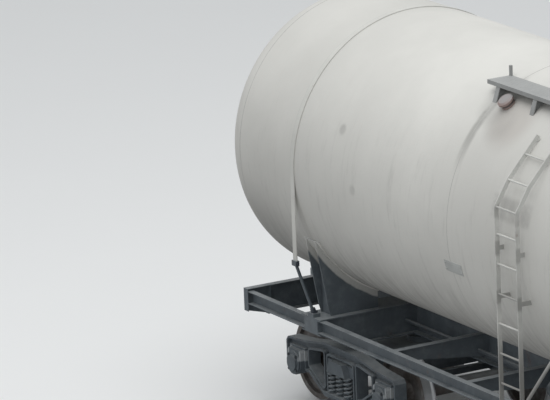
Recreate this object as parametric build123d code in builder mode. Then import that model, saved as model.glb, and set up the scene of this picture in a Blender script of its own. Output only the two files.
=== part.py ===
"""Railway tank car with a platform frame and two four-wheel bogies, as separate pieces.

X runs along the car, towards the end at the right of the photo. -Y is the side that the photo shows.
Z is up, and Z = 0 is the bottom of the wheel flanges. All sizes are in millimetres.
"""
import os
from math import atan2, cos, degrees, radians, sin, sqrt

from build123d import *

# Wheels and axles
FLANGE_H = 28
TREAD_R = 478.5
RAIL_Z = FLANGE_H
AXLE_Z = RAIL_Z + TREAD_R
WHEEL_IN_Y = 720
RIM_W = 130
RIM_T = 66
HUB_R = 135
HUB_OVER = 20
WEB_T = 28
AXLE_R = 84
SEAT_R = 97
JOURNAL_R = 65
JOURNAL_Y = WHEEL_IN_Y + 298
JOURNAL_HALF = 102

# Bogies
BOGIE_X = 3900
HALF_BASE = 925
BOX_HALF = 140
BOX_RISE = BOX_HALF + 15
FRAME_T = 150
SWING_GAP = 12

# Clearances of seats: curved faces, and shoes off the treads
GAP = 0.3
SHOE_GAP = 8

# Frame heights, each standing on the one below
BOWL_Z = AXLE_Z + 327.5
SILL_BOTTOM = BOWL_Z + 101
SILL_TOP = SILL_BOTTOM + 355
ARM_Z = SILL_BOTTOM + 3
COUPLER_Z = SILL_BOTTOM + 143

# Frame plan
SILL_Y = 165
SILL_T = 14
SILL_FLANGE = 75
BEAM_X = BOGIE_X + 1480
COUPLER_X = BEAM_X + 630

# Tank
TANK_R = 1600
TANK_CLEAR = 70
TANK_Z = SILL_TOP + TANK_CLEAR + TANK_R
TANK_TOP = TANK_Z + TANK_R
TANGENT_X = BOGIE_X + 1150
HEAD_H = 700
KNUCKLE_R = 430

# Frame width under the tank
BEAM_Y = TANK_R - 160
BOLSTER_Y = BEAM_Y

# Manway
NECK_R = 300
NECK_T = 14
NECK_H = 230
NECK_TOP = TANK_TOP + NECK_H
LID_R = NECK_R + 45
LID_T = 30
HINGE_Y = LID_R + 50
HINGE_Z = NECK_TOP + LID_T / 2 + 4
HINGE_R = 12

# Walkways
DECK_T = 8
DECK_DROP = 110
DECK_Z = TANK_TOP - DECK_DROP
DECK_X = 920
DECK_IN_Y = sqrt(TANK_R**2 - (TANK_R - DECK_DROP - DECK_T) ** 2) + 7
DECK_OUT_Y = DECK_IN_Y + 300

# Ladders
LADDER_X = 620
LADDER_W = 400
LADDER_Y = TANK_R + 75
LADDER_FOOT = 560
KNEE_Z = TANK_Z + 510
RAIL_D = 50
RAIL_T = 12
RUNG_R = 11
RUNG_STEP = 320

os.makedirs("parts", exist_ok=True)


def hand_in(piece, name):
    """Name a finished piece and write its file."""
    piece.part.label = name
    export_step(piece.part, f"parts/{name}.step")


def bar(p, q, radius, mode=Mode.ADD):
    """Round bar from point p to point q, in the piece that is being built."""
    p, q = Vector(*p), Vector(*q)
    with Locations(Plane(origin=p, z_dir=q - p)):
        Cylinder(radius, (q - p).length, align=(Align.CENTER, Align.CENTER, Align.MIN), mode=mode)


def block(x, y, z, mode=Mode.ADD):
    """Box that spans the given pairs of coordinates, in the piece that is being built."""
    with Locations(((x[0] + x[1]) / 2, (y[0] + y[1]) / 2, (z[0] + z[1]) / 2)):
        Box(abs(x[1] - x[0]), abs(y[1] - y[0]), abs(z[1] - z[0]), mode=mode)


def plate(plane, points, half, mode=Mode.ADD):
    """Straight-sided plate, as thick as twice half about its plane, in the piece that is being built."""
    with BuildSketch(plane) as face:
        Polygon(*points, align=None)
    extrude(face.sketch, amount=half, both=True, mode=mode)


def lengthwise(y, x=0, z=0):
    """Upright plane along the car at one side, with X to the right and Z up."""
    return Plane(origin=(x, y, z), x_dir=(1, 0, 0), z_dir=(0, -1, 0))


def on_side(side, points):
    """Y and Z points moved to one side of the car."""
    return [(side * y, z) for y, z in points]


def both_halves(half):
    """Closed outline from its half with first coordinates of 0 or more, mirrored to the other side."""
    return half + [(-u, v) for u, v in reversed(half) if u]


def tank_skin(angle, radius=TANK_R):
    """Y and Z of the point on the tank's round at an angle from the horizontal, in degrees."""
    return radius * cos(radians(angle)), TANK_Z + radius * sin(radians(angle))


def cut_tank(radius=TANK_R + GAP):
    """Cut the tank's round, or a wider one, out of the piece that is being built."""
    with Locations((0, 0, TANK_Z)):
        Cylinder(radius, 2 * TANGENT_X, rotation=(0, 90, 0), mode=Mode.SUBTRACT)


def dished(length, radius, crown, knuckle):
    """Half outline of a round vessel, from its middle to its crown, along its axis and out from it."""
    rise = radius - knuckle
    crown_r = knuckle + (rise**2 + (crown - knuckle) ** 2) / (2 * (crown - knuckle))
    meet = degrees(atan2(rise, crown_r - crown))
    CenterArc((length, rise), knuckle, 90, meet - 90)
    CenterArc((length + crown - crown_r, 0), crown_r, meet, -meet)


# Tank barrel
with BuildPart() as tank_barrel:
    with Locations((0, 0, TANK_Z)):
        Cylinder(TANK_R, 2 * TANGENT_X, rotation=(0, 90, 0))
hand_in(tank_barrel, "tank_barrel")

# Dished heads: a crown arc and a knuckle arc, turned about the tank's axis
with BuildPart() as tank_heads:
    for end in (-1, 1):
        with BuildSketch(Plane(origin=(end * TANGENT_X, 0, TANK_Z), x_dir=(end, 0, 0), z_dir=(0, -end, 0))):
            with BuildLine():
                dished(0, TANK_R, HEAD_H, KNUCKLE_R)
                Polyline((HEAD_H, 0), (0, 0), (0, TANK_R))
            make_face()
        revolve(axis=Axis((0, 0, TANK_Z), (1, 0, 0)))
hand_in(tank_heads, "tank_heads")

# Manway neck on the tank's top, with a flange, clamp lugs all round and two hinge lugs
FLANGE_T, LUG_W, LUG_OUT, LUGS = 24, 60, 30, 8
HINGE_LUG_X, HINGE_LUG_T = 90, 24
with BuildPart() as manway_neck:
    with BuildSketch(Plane.XY.offset(TANK_Z)):
        Circle(NECK_R)
    extrude(amount=NECK_TOP - TANK_Z)
    with BuildSketch(Plane.XY.offset(NECK_TOP - FLANGE_T)):
        Circle(LID_R)
        with PolarLocations(LID_R, LUGS, start_angle=180 / LUGS):
            Rectangle(2 * LUG_OUT, LUG_W)
    extrude(amount=FLANGE_T)
    with BuildSketch(Plane.XY.offset(TANK_Z)):
        Circle(NECK_R - NECK_T)
    extrude(amount=NECK_TOP - TANK_Z, mode=Mode.SUBTRACT)
    for side in (-1, 1):
        x = side * HINGE_LUG_X
        ears = [(LID_R - 30, NECK_TOP - FLANGE_T), (HINGE_Y + 28, NECK_TOP - FLANGE_T),
                (HINGE_Y + 28, HINGE_Z + 25), (HINGE_Y - 28, HINGE_Z + 25), (HINGE_Y - 42, NECK_TOP),
                (LID_R - 30, NECK_TOP)]
        plate(Plane.YZ.offset(x), ears, HINGE_LUG_T / 2)
    bar((-2 * HINGE_LUG_X, HINGE_Y, HINGE_Z), (2 * HINGE_LUG_X, HINGE_Y, HINGE_Z), HINGE_R + 1,
        mode=Mode.SUBTRACT)
    cut_tank()
hand_in(manway_neck, "manway_neck")

# Manway lid: a dished cover with clamp lugs, a hinge arm and its pin
DOME_R, DOME_H, ARM_HALF = LID_R - 115, 45, 60
with BuildPart() as manway_lid:
    with BuildSketch(Plane.XY.offset(NECK_TOP + GAP)):
        Circle(LID_R)
        with PolarLocations(LID_R, LUGS, start_angle=180 / LUGS):
            Rectangle(2 * LUG_OUT, LUG_W)
    extrude(amount=LID_T)
    with BuildSketch(Plane.XZ):
        with BuildLine():
            dome = ThreePointArc((DOME_R, NECK_TOP + LID_T), (DOME_R * 0.55, NECK_TOP + LID_T + DOME_H * 0.8),
                                 (0, NECK_TOP + LID_T + DOME_H))
            Polyline(dome @ 1, (0, NECK_TOP + LID_T), dome @ 0)
        make_face()
    revolve(axis=Axis.Z)
    block((-ARM_HALF, ARM_HALF), (DOME_R - 30, HINGE_Y), (NECK_TOP + LID_T - 22, NECK_TOP + LID_T + 12))
    bar((-ARM_HALF, HINGE_Y, HINGE_Z), (ARM_HALF, HINGE_Y, HINGE_Z), 2 * HINGE_R)
    pin_x = HINGE_LUG_X + HINGE_LUG_T / 2 + 6
    bar((-pin_x, HINGE_Y, HINGE_Z), (pin_x, HINGE_Y, HINGE_Z), HINGE_R)
hand_in(manway_lid, "manway_lid")

# Hold-down straps over both bolsters: a band over the top, with straight legs
STRAP_W, STRAP_T, STRAP_LEG = 80, 10, 1000
strap_r = TANK_R + GAP + STRAP_T
with BuildPart() as tank_straps:
    for end in (-1, 1):
        with BuildSketch(Plane.YZ.offset(end * BOGIE_X)):
            with Locations((0, TANK_Z)):
                Circle(strap_r)
                Rectangle(2 * strap_r, STRAP_LEG, align=(Align.CENTER, Align.MAX))
                Circle(TANK_R + GAP, mode=Mode.SUBTRACT)
                Rectangle(2 * (TANK_R + GAP), 2 * TANK_R, align=(Align.CENTER, Align.MAX), mode=Mode.SUBTRACT)
        extrude(amount=STRAP_W / 2, both=True)
hand_in(tank_straps, "tank_straps")

# Threaded rods that draw the straps down to the bolsters, with a jaw at the strap and a seat below
ROD_R, JAW_H, JAW_T, SEAT_H, SEAT_L = 18, 60, 46, 40, 120
rod_top = TANK_Z - STRAP_LEG
with BuildPart() as strap_rods:
    for end in (-1, 1):
        for side in (-1, 1):
            x = end * BOGIE_X
            strap_y, seat_y = strap_r - STRAP_T / 2, BOLSTER_Y - 45
            bar((x, side * strap_y, rod_top - JAW_H / 2), (x, side * seat_y, SILL_TOP + SEAT_H / 2), ROD_R)
            block((x - STRAP_W / 2 - 5, x + STRAP_W / 2 + 5),
                  (side * (strap_y - JAW_T / 2), side * (strap_y + JAW_T / 2)), (rod_top - JAW_H, rod_top))
            block((x - SEAT_L / 2, x + SEAT_L / 2), (side * (BOLSTER_Y - 90), side * BOLSTER_Y),
                  (SILL_TOP, SILL_TOP + SEAT_H))
hand_in(strap_rods, "strap_rods")

# Wrapper pads between the tank and its saddles
PAD_T, PAD_HIGH, PAD_LOW, PAD_HALF = 14, -30, -66, 160
pad_angles = (PAD_HIGH, (PAD_HIGH + PAD_LOW) / 2, PAD_LOW)
with BuildPart() as saddle_pads:
    for end in (-1, 1):
        for side in (-1, 1):
            inner = on_side(side, [tank_skin(a, TANK_R + GAP) for a in pad_angles])
            outer = on_side(side, [tank_skin(a, TANK_R + GAP + PAD_T) for a in pad_angles])
            with BuildSketch(Plane.YZ.offset(end * BOGIE_X)):
                with BuildLine():
                    ThreePointArc(*inner)
                    ThreePointArc(*outer)
                    Line(inner[0], outer[0])
                    Line(inner[2], outer[2])
                make_face()
            extrude(amount=PAD_HALF, both=True)
hand_in(saddle_pads, "saddle_pads")

# Saddles: two webs joined by gussets, between bolster and pad
SADDLE_T, SADDLE_HALF, GUSSET_T = 14, 110, 14
saddle_in, saddle_out = tank_skin(PAD_LOW)[0] - 10, BOLSTER_Y - 200
tip_y, tip_z = tank_skin(PAD_HIGH, TANK_R + PAD_T)
with BuildPart() as saddles:
    for end in (-1, 1):
        for side in (-1, 1):
            outline = on_side(side, [
                (saddle_in, SILL_TOP), (saddle_out, SILL_TOP), (saddle_out + 30, SILL_TOP + 90),
                (tip_y, tip_z - 60), (tip_y, tip_z), (saddle_in, tip_z)])
            for x in (-SADDLE_HALF + SADDLE_T / 2, SADDLE_HALF - SADDLE_T / 2):
                plate(Plane.YZ.offset(end * BOGIE_X + x), outline, SADDLE_T / 2)
            for y in (saddle_in + 20, (saddle_in + saddle_out) / 2, saddle_out - 20):
                block((end * BOGIE_X - SADDLE_HALF + SADDLE_T, end * BOGIE_X + SADDLE_HALF - SADDLE_T),
                      (side * (y - GUSSET_T / 2), side * (y + GUSSET_T / 2)), (SILL_TOP, tip_z))
    cut_tank(TANK_R + PAD_T + 2 * GAP)
hand_in(saddles, "saddles")

# Feet that fix the tank's middle to the sill: a long cheek on three ribs
FOOT_X, FOOT_HALF, FOOT_Y, FOOT_T, RIB_T, RIB_IN = 760, 240, 118, 28, 16, 60
with BuildPart() as tank_feet:
    for x in (-FOOT_X, FOOT_X):
        for side in (-1, 1):
            z = (SILL_TOP, SILL_TOP + 2 * TANK_CLEAR)
            block((x - FOOT_HALF, x + FOOT_HALF), (side * FOOT_Y, side * (FOOT_Y + FOOT_T)), z)
            for dx in (-FOOT_HALF + 40, 0, FOOT_HALF - 40):
                block((x + dx - RIB_T / 2, x + dx + RIB_T / 2), (side * RIB_IN, side * (FOOT_Y + 1)), z)
    cut_tank()
hand_in(tank_feet, "tank_feet")

# Centre sill: a top plate on two flanged webs, open below, with a hole for the outlet
OUTLET_X, OUTLET_HOLE_R = 0, 140
sill_end = BEAM_X - 8
with BuildPart() as centre_sill:
    with BuildSketch(Plane.YZ):
        half = [(0, SILL_TOP), (SILL_Y + 25, SILL_TOP), (SILL_Y + 25, SILL_TOP - SILL_T),
                (SILL_Y, SILL_TOP - SILL_T),
                (SILL_Y, SILL_BOTTOM + SILL_T), (SILL_Y + SILL_FLANGE, SILL_BOTTOM + SILL_T),
                (SILL_Y + SILL_FLANGE, SILL_BOTTOM), (SILL_Y - SILL_T, SILL_BOTTOM),
                (SILL_Y - SILL_T, SILL_TOP - SILL_T), (0, SILL_TOP - SILL_T)]
        Polygon(*both_halves(half), align=None)
    extrude(amount=sill_end, both=True)
    with Locations((OUTLET_X, 0, SILL_TOP)):
        Cylinder(OUTLET_HOLE_R, 4 * SILL_T, mode=Mode.SUBTRACT)
hand_in(centre_sill, "centre_sill")

# End beams: a bent face plate with top and bottom flanges, end caps and stiffeners
BEAM_T, BEAM_D, BEAM_H = 8, 90, 330
beam_foot, beam_top = SILL_TOP + 10 - BEAM_H, SILL_TOP + 10
with BuildPart() as end_beams:
    for end in (-1, 1):
        for side in (-1, 1):
            flange = (end * (BEAM_X - BEAM_D), end * BEAM_X)
            outline = on_side(side, [(0, beam_foot), (BEAM_Y - 260, beam_foot), (BEAM_Y, beam_foot + 70),
                                     (BEAM_Y, beam_top), (0, beam_top)])
            plate(Plane.YZ.offset(end * (BEAM_X - BEAM_T / 2)), outline, BEAM_T / 2)
            flange_y = SILL_Y + SILL_FLANGE + 1
            block(flange, (side * flange_y, side * BEAM_Y), (beam_top - BEAM_T, beam_top))
            block(flange, (side * flange_y, side * (BEAM_Y - 260)), (beam_foot, beam_foot + BEAM_T))
            for y in (flange_y + 149, BEAM_Y - 300, BEAM_Y - BEAM_T):
                foot = beam_foot + 70 if y > BEAM_Y - 260 else beam_foot
                block(flange, (side * y, side * (y + BEAM_T)), (foot, beam_top))
hand_in(end_beams, "end_beams")

# Body bolsters: tapered box arms each side of the sill, with wider cover plates
ARM_HALF_X, COVER_HALF, COVER_T, ARM_END_H = 140, 200, 15, 170
arm_end, arm_bend_y = SILL_TOP - ARM_END_H, BOLSTER_Y - 540
with BuildPart() as body_bolsters:
    for end in (-1, 1):
        for side in (-1, 1):
            middle = Plane.YZ.offset(end * BOGIE_X)
            flange_y = SILL_Y + SILL_FLANGE + 1
            arm = [(SILL_Y, SILL_TOP - COVER_T), (BOLSTER_Y, SILL_TOP - COVER_T), (BOLSTER_Y, arm_end),
                   (arm_bend_y, ARM_Z + SILL_T), (flange_y, ARM_Z + SILL_T),
                   (flange_y, SILL_BOTTOM + SILL_T + 1), (SILL_Y, SILL_BOTTOM + SILL_T + 1)]
            plate(middle, on_side(side, arm), ARM_HALF_X)
            top_cover = [(SILL_Y + 26, SILL_TOP - COVER_T), (BOLSTER_Y, SILL_TOP - COVER_T),
                         (BOLSTER_Y, SILL_TOP), (SILL_Y + 26, SILL_TOP)]
            plate(middle, on_side(side, top_cover), COVER_HALF)
            foot_cover = [(BOLSTER_Y, arm_end), (BOLSTER_Y, arm_end - SILL_T), (arm_bend_y + 4, ARM_Z),
                          (flange_y, ARM_Z), (flange_y, ARM_Z + SILL_T), (arm_bend_y, ARM_Z + SILL_T)]
            plate(middle, on_side(side, foot_cover), COVER_HALF)
hand_in(body_bolsters, "body_bolsters")

# Side beams: channels, short ones from end beam to bolster and a long one between the bolsters
CHANNEL_H, CHANNEL_W, CHANNEL_T = ARM_END_H - COVER_T - 10, 75, 8
bay = BOGIE_X - ARM_HALF_X
channel_y = BEAM_Y - CHANNEL_W
channel_foot = SILL_TOP - COVER_T - CHANNEL_H
with BuildPart() as side_beams:
    for side in (-1, 1):
        for x0, x1 in ((-BEAM_X + BEAM_D, -BOGIE_X - ARM_HALF_X), (-bay, bay),
                       (BOGIE_X + ARM_HALF_X, BEAM_X - BEAM_D)):
            with BuildSketch(Plane.YZ.offset(x0)):
                web_y = channel_y + CHANNEL_T
                channel = [(channel_y, 0), (BEAM_Y, 0), (BEAM_Y, CHANNEL_T), (web_y, CHANNEL_T),
                           (web_y, CHANNEL_H - CHANNEL_T), (BEAM_Y, CHANNEL_H - CHANNEL_T),
                           (BEAM_Y, CHANNEL_H), (channel_y, CHANNEL_H)]
                Polygon(*on_side(side, [(y, channel_foot + z) for y, z in channel]), align=None)
            extrude(amount=x1 - x0)
hand_in(side_beams, "side_beams")

# Cross beams from sill to side beams: tapered webs under a flange, with holes for the brake pipe
PIPE_Y, PIPE_R = SILL_Y + SILL_FLANGE + 60, 21
PIPE_Z = SILL_BOTTOM + 150
CROSS_X, CROSS_T, CROSS_FLANGE = (750, 2250), 12, 90
with BuildPart() as cross_beams:
    for x in [end * x for end in (-1, 1) for x in CROSS_X]:
        for side in (-1, 1):
            outline = on_side(side, [(SILL_Y, SILL_TOP - SILL_T - 1), (channel_y, SILL_TOP - 25),
                                     (channel_y, channel_foot + 20), (SILL_Y, SILL_BOTTOM + 65)])
            plate(Plane.YZ.offset(x), outline, CROSS_T / 2)
            cap = on_side(side, [(SILL_Y + 26, SILL_TOP - 17), (channel_y, SILL_TOP - 25),
                                 (channel_y, SILL_TOP - 33), (SILL_Y + 26, SILL_TOP - 25)])
            plate(Plane.YZ.offset(x), cap, CROSS_FLANGE / 2)
        bar((x - CROSS_T, -PIPE_Y, PIPE_Z), (x + CROSS_T, -PIPE_Y, PIPE_Z), PIPE_R + GAP, mode=Mode.SUBTRACT)
hand_in(cross_beams, "cross_beams")

# Strikers on the end beams: a cast frame with a rounded mouth round the coupler shank
STRIKER_L, STRIKER_W, STRIKER_H, MOUTH_W, MOUTH_H = 95, 470, 380, 260, 250
with BuildPart() as strikers:
    for end in (-1, 1):
        face = Plane(origin=(end * BEAM_X, 0, COUPLER_Z + 10), x_dir=(0, 1, 0), z_dir=(end, 0, 0))
        with BuildSketch(face):
            RectangleRounded(STRIKER_W, STRIKER_H, 50)
        extrude(amount=STRIKER_L, taper=6)
        with BuildSketch(face):
            RectangleRounded(MOUTH_W, MOUTH_H, 30)
        extrude(amount=STRIKER_L, mode=Mode.SUBTRACT)
hand_in(strikers, "strikers")

# Automatic couplers: a shank and a cast head whose plan has a large and a small tooth
SHANK_W, SHANK_H, HEAD_HALF, TOOTH_HALF, CAST_R = 129, 218, 105, 140, 14
with BuildPart() as couplers:
    for end in (-1, 1):
        plan = Plane(origin=(0, 0, COUPLER_Z), x_dir=(end, 0, 0), z_dir=(0, 0, 1))
        with BuildSketch(plan):
            Polygon((BEAM_X, -65), (BEAM_X + 230, -65), (BEAM_X + 320, -185), (BEAM_X + 410, -210),
                    (COUPLER_X - 40, -210), (COUPLER_X + 60, -170), (COUPLER_X + 75, -95),
                    (COUPLER_X - 20, -60), (COUPLER_X - 95, 5), (COUPLER_X - 95, 95), (COUPLER_X + 5, 125),
                    (COUPLER_X + 20, 200),
                    (COUPLER_X - 60, 225), (BEAM_X + 400, 215), (BEAM_X + 320, 170), (BEAM_X + 230, 65),
                    (BEAM_X, 65), align=None)
            fillet(vertices().filter_by(lambda v: abs(v.X) > BEAM_X + 1), CAST_R)
        extrude(amount=HEAD_HALF, both=True)
        with BuildSketch(plan):
            Polygon((COUPLER_X - 190, -205), (COUPLER_X - 45, -205), (COUPLER_X + 55, -167),
                    (COUPLER_X + 68, -98), (COUPLER_X - 25, -66), (COUPLER_X - 110, -30),
                    (COUPLER_X - 190, -60), align=None)
            fillet(vertices(), CAST_R)
        extrude(amount=TOOTH_HALF, both=True)
        with Locations((end * (BEAM_X + 100), 0, COUPLER_Z)):
            Box(200, SHANK_W, SHANK_H)
hand_in(couplers, "couplers")

# Uncoupling levers across the end beams, on two brackets each
LEVER_X, LEVER_UP, LEVER_IN, LEVER_OUT, LEVER_R = 70, 240, 260, BEAM_Y - 260, 12
with BuildPart() as uncoupling_levers:
    for end in (-1, 1):
        x, z, y = end * (BEAM_X + LEVER_X), COUPLER_Z + LEVER_UP, -end
        bar((x, y * LEVER_IN, z), (x, y * LEVER_OUT, z), LEVER_R)
        bar((x, y * LEVER_OUT, z), (x, y * LEVER_OUT, z - 330), LEVER_R - 1)
        bar((x, y * LEVER_IN, z), (end * (BEAM_X + 330), y * 90, z - 60), LEVER_R - 1)
        for bracket_y in (LEVER_IN + 160, LEVER_OUT - 60):
            block((end * BEAM_X, end * (BEAM_X + LEVER_X + 15)), (y * bracket_y - 12, y * bracket_y + 12),
                  (z - 30, z + 22))
hand_in(uncoupling_levers, "uncoupling_levers")

# Brake pipe in three lengths, with an angle cock at each car end
COCK_R, COCK_X = 38, 110
with BuildPart() as brake_pipe:
    for x0, x1 in ((-sill_end, -BOGIE_X - ARM_HALF_X), (-bay, bay), (BOGIE_X + ARM_HALF_X, sill_end)):
        bar((x0, -PIPE_Y, PIPE_Z), (x1, -PIPE_Y, PIPE_Z), PIPE_R)
    for end in (-1, 1):
        cock = end * (BEAM_X + COCK_X)
        bar((end * BEAM_X, -PIPE_Y, PIPE_Z), (cock, -PIPE_Y, PIPE_Z), PIPE_R)
        with Locations((cock, -PIPE_Y, PIPE_Z)):
            Sphere(COCK_R)
        bar((cock, -PIPE_Y, PIPE_Z), (cock + end * 80, -PIPE_Y, PIPE_Z - 80), PIPE_R + 3)
        bar((cock, -PIPE_Y, PIPE_Z), (cock, -PIPE_Y, PIPE_Z + 60), 13)
        block((cock - end * 80, cock + end * 10), (-PIPE_Y - 9, -PIPE_Y + 9), (PIPE_Z + 52, PIPE_Z + 64))
hand_in(brake_pipe, "brake_pipe")

# Brake cylinder with its covers, piston rod and hanger plates
CYLINDER_Y, CYLINDER_Z, CYLINDER_R, COVER_R, HANGER_T = 480, SILL_BOTTOM + 50, 178, 205, 16
CYLINDER_X0, CYLINDER_X1, COVER_L = -1790, -1250, 40
with BuildPart() as brake_cylinder:
    def on_cylinder(x):
        """Point on the cylinder's axis."""
        return x, CYLINDER_Y, CYLINDER_Z

    bar(on_cylinder(CYLINDER_X0 + COVER_L), on_cylinder(CYLINDER_X1 - COVER_L), CYLINDER_R)
    bar(on_cylinder(CYLINDER_X0), on_cylinder(CYLINDER_X0 + COVER_L), COVER_R)
    bar(on_cylinder(CYLINDER_X1 - COVER_L), on_cylinder(CYLINDER_X1), COVER_R)
    bar(on_cylinder(CYLINDER_X1), on_cylinder(CYLINDER_X1 + 120), 24)
    for x in (CYLINDER_X0 + 70, CYLINDER_X1 - 90):
        block((x - HANGER_T / 2, x + HANGER_T / 2), (SILL_Y, CYLINDER_Y), (CYLINDER_Z, SILL_TOP - 50))
hand_in(brake_cylinder, "brake_cylinder")

# Air reservoir: a turned vessel with dished ends, on two hanger plates
VESSEL_X, VESSEL_HALF, VESSEL_Y, VESSEL_Z, VESSEL_R = 1500, 450, 560, SILL_BOTTOM + 75, 150
with BuildPart() as air_reservoir:
    with BuildSketch(lengthwise(VESSEL_Y, VESSEL_X, VESSEL_Z)):
        with BuildLine():
            dished(VESSEL_HALF, VESSEL_R, 70, 40)
            Polyline((VESSEL_HALF + 70, 0), (0, 0), (0, VESSEL_R), (VESSEL_HALF, VESSEL_R))
        make_face()
        mirror(about=Plane.YZ)
    revolve(axis=Axis((VESSEL_X, VESSEL_Y, VESSEL_Z), (1, 0, 0)))
    for x in (VESSEL_X - VESSEL_HALF + 170, VESSEL_X + VESSEL_HALF - 170):
        block((x - HANGER_T / 2, x + HANGER_T / 2), (SILL_Y, VESSEL_Y), (VESSEL_Z, SILL_TOP - 60))
hand_in(air_reservoir, "air_reservoir")

# Air distributor: two valve bodies on a middle chamber, on an arm from the sill
CHAMBER_Y, CHAMBER_Z, VALVE_R = -465, SILL_BOTTOM + 160, 90
with BuildPart() as air_distributor:
    with BuildSketch(Plane.XY.offset(CHAMBER_Z - 95)):
        with Locations((-200, CHAMBER_Y)):
            RectangleRounded(280, 250, 40)
    extrude(amount=190)
    bar((-480, CHAMBER_Y, CHAMBER_Z), (-339, CHAMBER_Y, CHAMBER_Z), VALVE_R + 5)
    bar((-61, CHAMBER_Y, CHAMBER_Z), (90, CHAMBER_Y, CHAMBER_Z), VALVE_R - 5)
    block((-280, -120), (CHAMBER_Y + 124, -SILL_Y), (CHAMBER_Z + 30, CHAMBER_Z + 70))
hand_in(air_distributor, "air_distributor")

# Brake rods and their levers under the sill, in guides
LEVER_Z, ROD_Y, PULL_R, PIVOT_X = SILL_BOTTOM - 30, SILL_Y + 35, 15, CYLINDER_X1 + 140
with BuildPart() as brake_rods:
    for x0, x1 in ((-2750, PIVOT_X + 10), (PIVOT_X + 210, 2750)):
        bar((x0, ROD_Y, LEVER_Z), (x1, ROD_Y, LEVER_Z), PULL_R)
    block((PIVOT_X - 20, PIVOT_X + 20), (-60, CYLINDER_Y + 40), (LEVER_Z - 2, LEVER_Z + 12))
    bar((PIVOT_X, CYLINDER_Y, LEVER_Z + 11), (PIVOT_X, CYLINDER_Y, CYLINDER_Z - 25), 14)
    block((PIVOT_X, PIVOT_X + 230), (ROD_Y - 15, ROD_Y + 15), (LEVER_Z - 12, LEVER_Z - 2))
    for x in (-2700, -1900, -600, 900, 2000, 2700):
        block((x - 8, x + 8), (ROD_Y - 22, ROD_Y + 22), (LEVER_Z - 22, SILL_BOTTOM))
hand_in(brake_rods, "brake_rods")

# Ladders up both sides: an upright run, then a run that leans in along the tank's shoulder
BEND_ANGLE, BEND_OFF, TOP_ANGLE, TOP_OFF, BEND_R = 27, 100, 46, 40, 120
bend = Vector(*tank_skin(BEND_ANGLE, TANK_R + BEND_OFF))
top = Vector(*tank_skin(TOP_ANGLE, TANK_R + TOP_OFF))
along = (top - bend).normalized()
outward = Vector(along.Y, -along.X)
with BuildPart() as ladder_rails:
    for side in (-1, 1):
        for edge in (-1, 1):
            with BuildSketch(Plane.YZ.offset(LADDER_X + edge * LADDER_W / 2)):
                with BuildLine():
                    run = [(LADDER_Y, LADDER_FOOT), (LADDER_Y, KNEE_Z), (bend.X, bend.Y), (top.X, top.Y)]
                    FilletPolyline(*on_side(side, run), radius=BEND_R)
                trace(line_width=RAIL_D)
            extrude(amount=RAIL_T / 2, both=True)
hand_in(ladder_rails, "ladder_rails")

# Rungs between the ladder rails, and one at each bend
half_rung = (LADDER_W - RAIL_T) / 2
upright = int((KNEE_Z - LADDER_FOOT - RUNG_STEP / 2) / RUNG_STEP)
rungs = [(LADDER_Y, KNEE_Z - (i + 0.9) * RUNG_STEP) for i in range(upright)]
rungs += [(LADDER_Y, KNEE_Z), (bend.X, bend.Y), (bend.X + along.X * RUNG_STEP, bend.Y + along.Y * RUNG_STEP)]
with BuildPart() as ladder_rungs:
    for side in (-1, 1):
        for y, z in rungs:
            bar((LADDER_X - half_rung, side * y, z), (LADDER_X + half_rung, side * y, z), RUNG_R)
hand_in(ladder_rungs, "ladder_rungs")

# Stays that hold the ladders: brackets to tank and side beams, feet at the top, slanting bars to tank lugs
STAY_T, STAY_H, STAY_R = 10, 50, 20
BRACE_RUN, BRACE_Z, BRACE_TOP_Z = 570, SILL_TOP + 130, TANK_Z - 660
foot_top = top - along * 30 - outward * (RAIL_D / 2)
foot_end = foot_top - outward * 60
with BuildPart() as ladder_stays:
    for side in (-1, 1):
        rail_back = side * (LADDER_Y - RAIL_D / 2)
        for edge in (-1, 1):
            x = LADDER_X + edge * LADDER_W / 2
            stay_x = (x - STAY_T / 2, x + STAY_T / 2)
            for z in (TANK_Z + 45, TANK_Z - 475):
                skin = sqrt(TANK_R**2 - (z - TANK_Z) ** 2)
                block(stay_x, (side * (skin - 60), rail_back), (z, z + STAY_H))
            block(stay_x, (side * BEAM_Y, rail_back), (channel_foot + 40, channel_foot + 40 + STAY_H))
            bar((x, side * foot_end.X, foot_end.Y), (x, side * foot_top.X, foot_top.Y), STAY_R)
        lug_y = sqrt(TANK_R**2 - (BRACE_TOP_Z - TANK_Z) ** 2)
        near_x = LADDER_X + LADDER_W / 2 + RAIL_T / 2 + STAY_R
        bar((near_x, side * LADDER_Y, BRACE_Z), (near_x + BRACE_RUN, side * lug_y, BRACE_TOP_Z), STAY_R - 1)
        block((near_x - STAY_R, near_x + STAY_R / 2), (rail_back, side * (LADDER_Y + RAIL_D / 2)),
              (BRACE_Z - 40, BRACE_Z + 30))
    cut_tank()
hand_in(ladder_stays, "ladder_stays")

# Walkway decks each side of the manway: plates with a lip down outside and posts at the inner corners
LIP, POST_W, POST_H = 45, 28, 110
under, lip_in = DECK_Z - DECK_T, DECK_OUT_Y - DECK_T
with BuildPart() as walkways:
    for side in (-1, 1):
        folded = [(DECK_IN_Y, under), (DECK_IN_Y, DECK_Z), (DECK_OUT_Y, DECK_Z), (DECK_OUT_Y, DECK_Z - LIP),
                  (lip_in, DECK_Z - LIP), (lip_in, under)]
        plate(Plane.YZ, on_side(side, folded), DECK_X)
        for x in (-DECK_X + POST_W / 2, DECK_X - POST_W / 2):
            block((x - POST_W / 2, x + POST_W / 2), (side * DECK_IN_Y, side * (DECK_IN_Y + POST_W)),
                  (under, DECK_Z + POST_H))
hand_in(walkways, "walkways")

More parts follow.
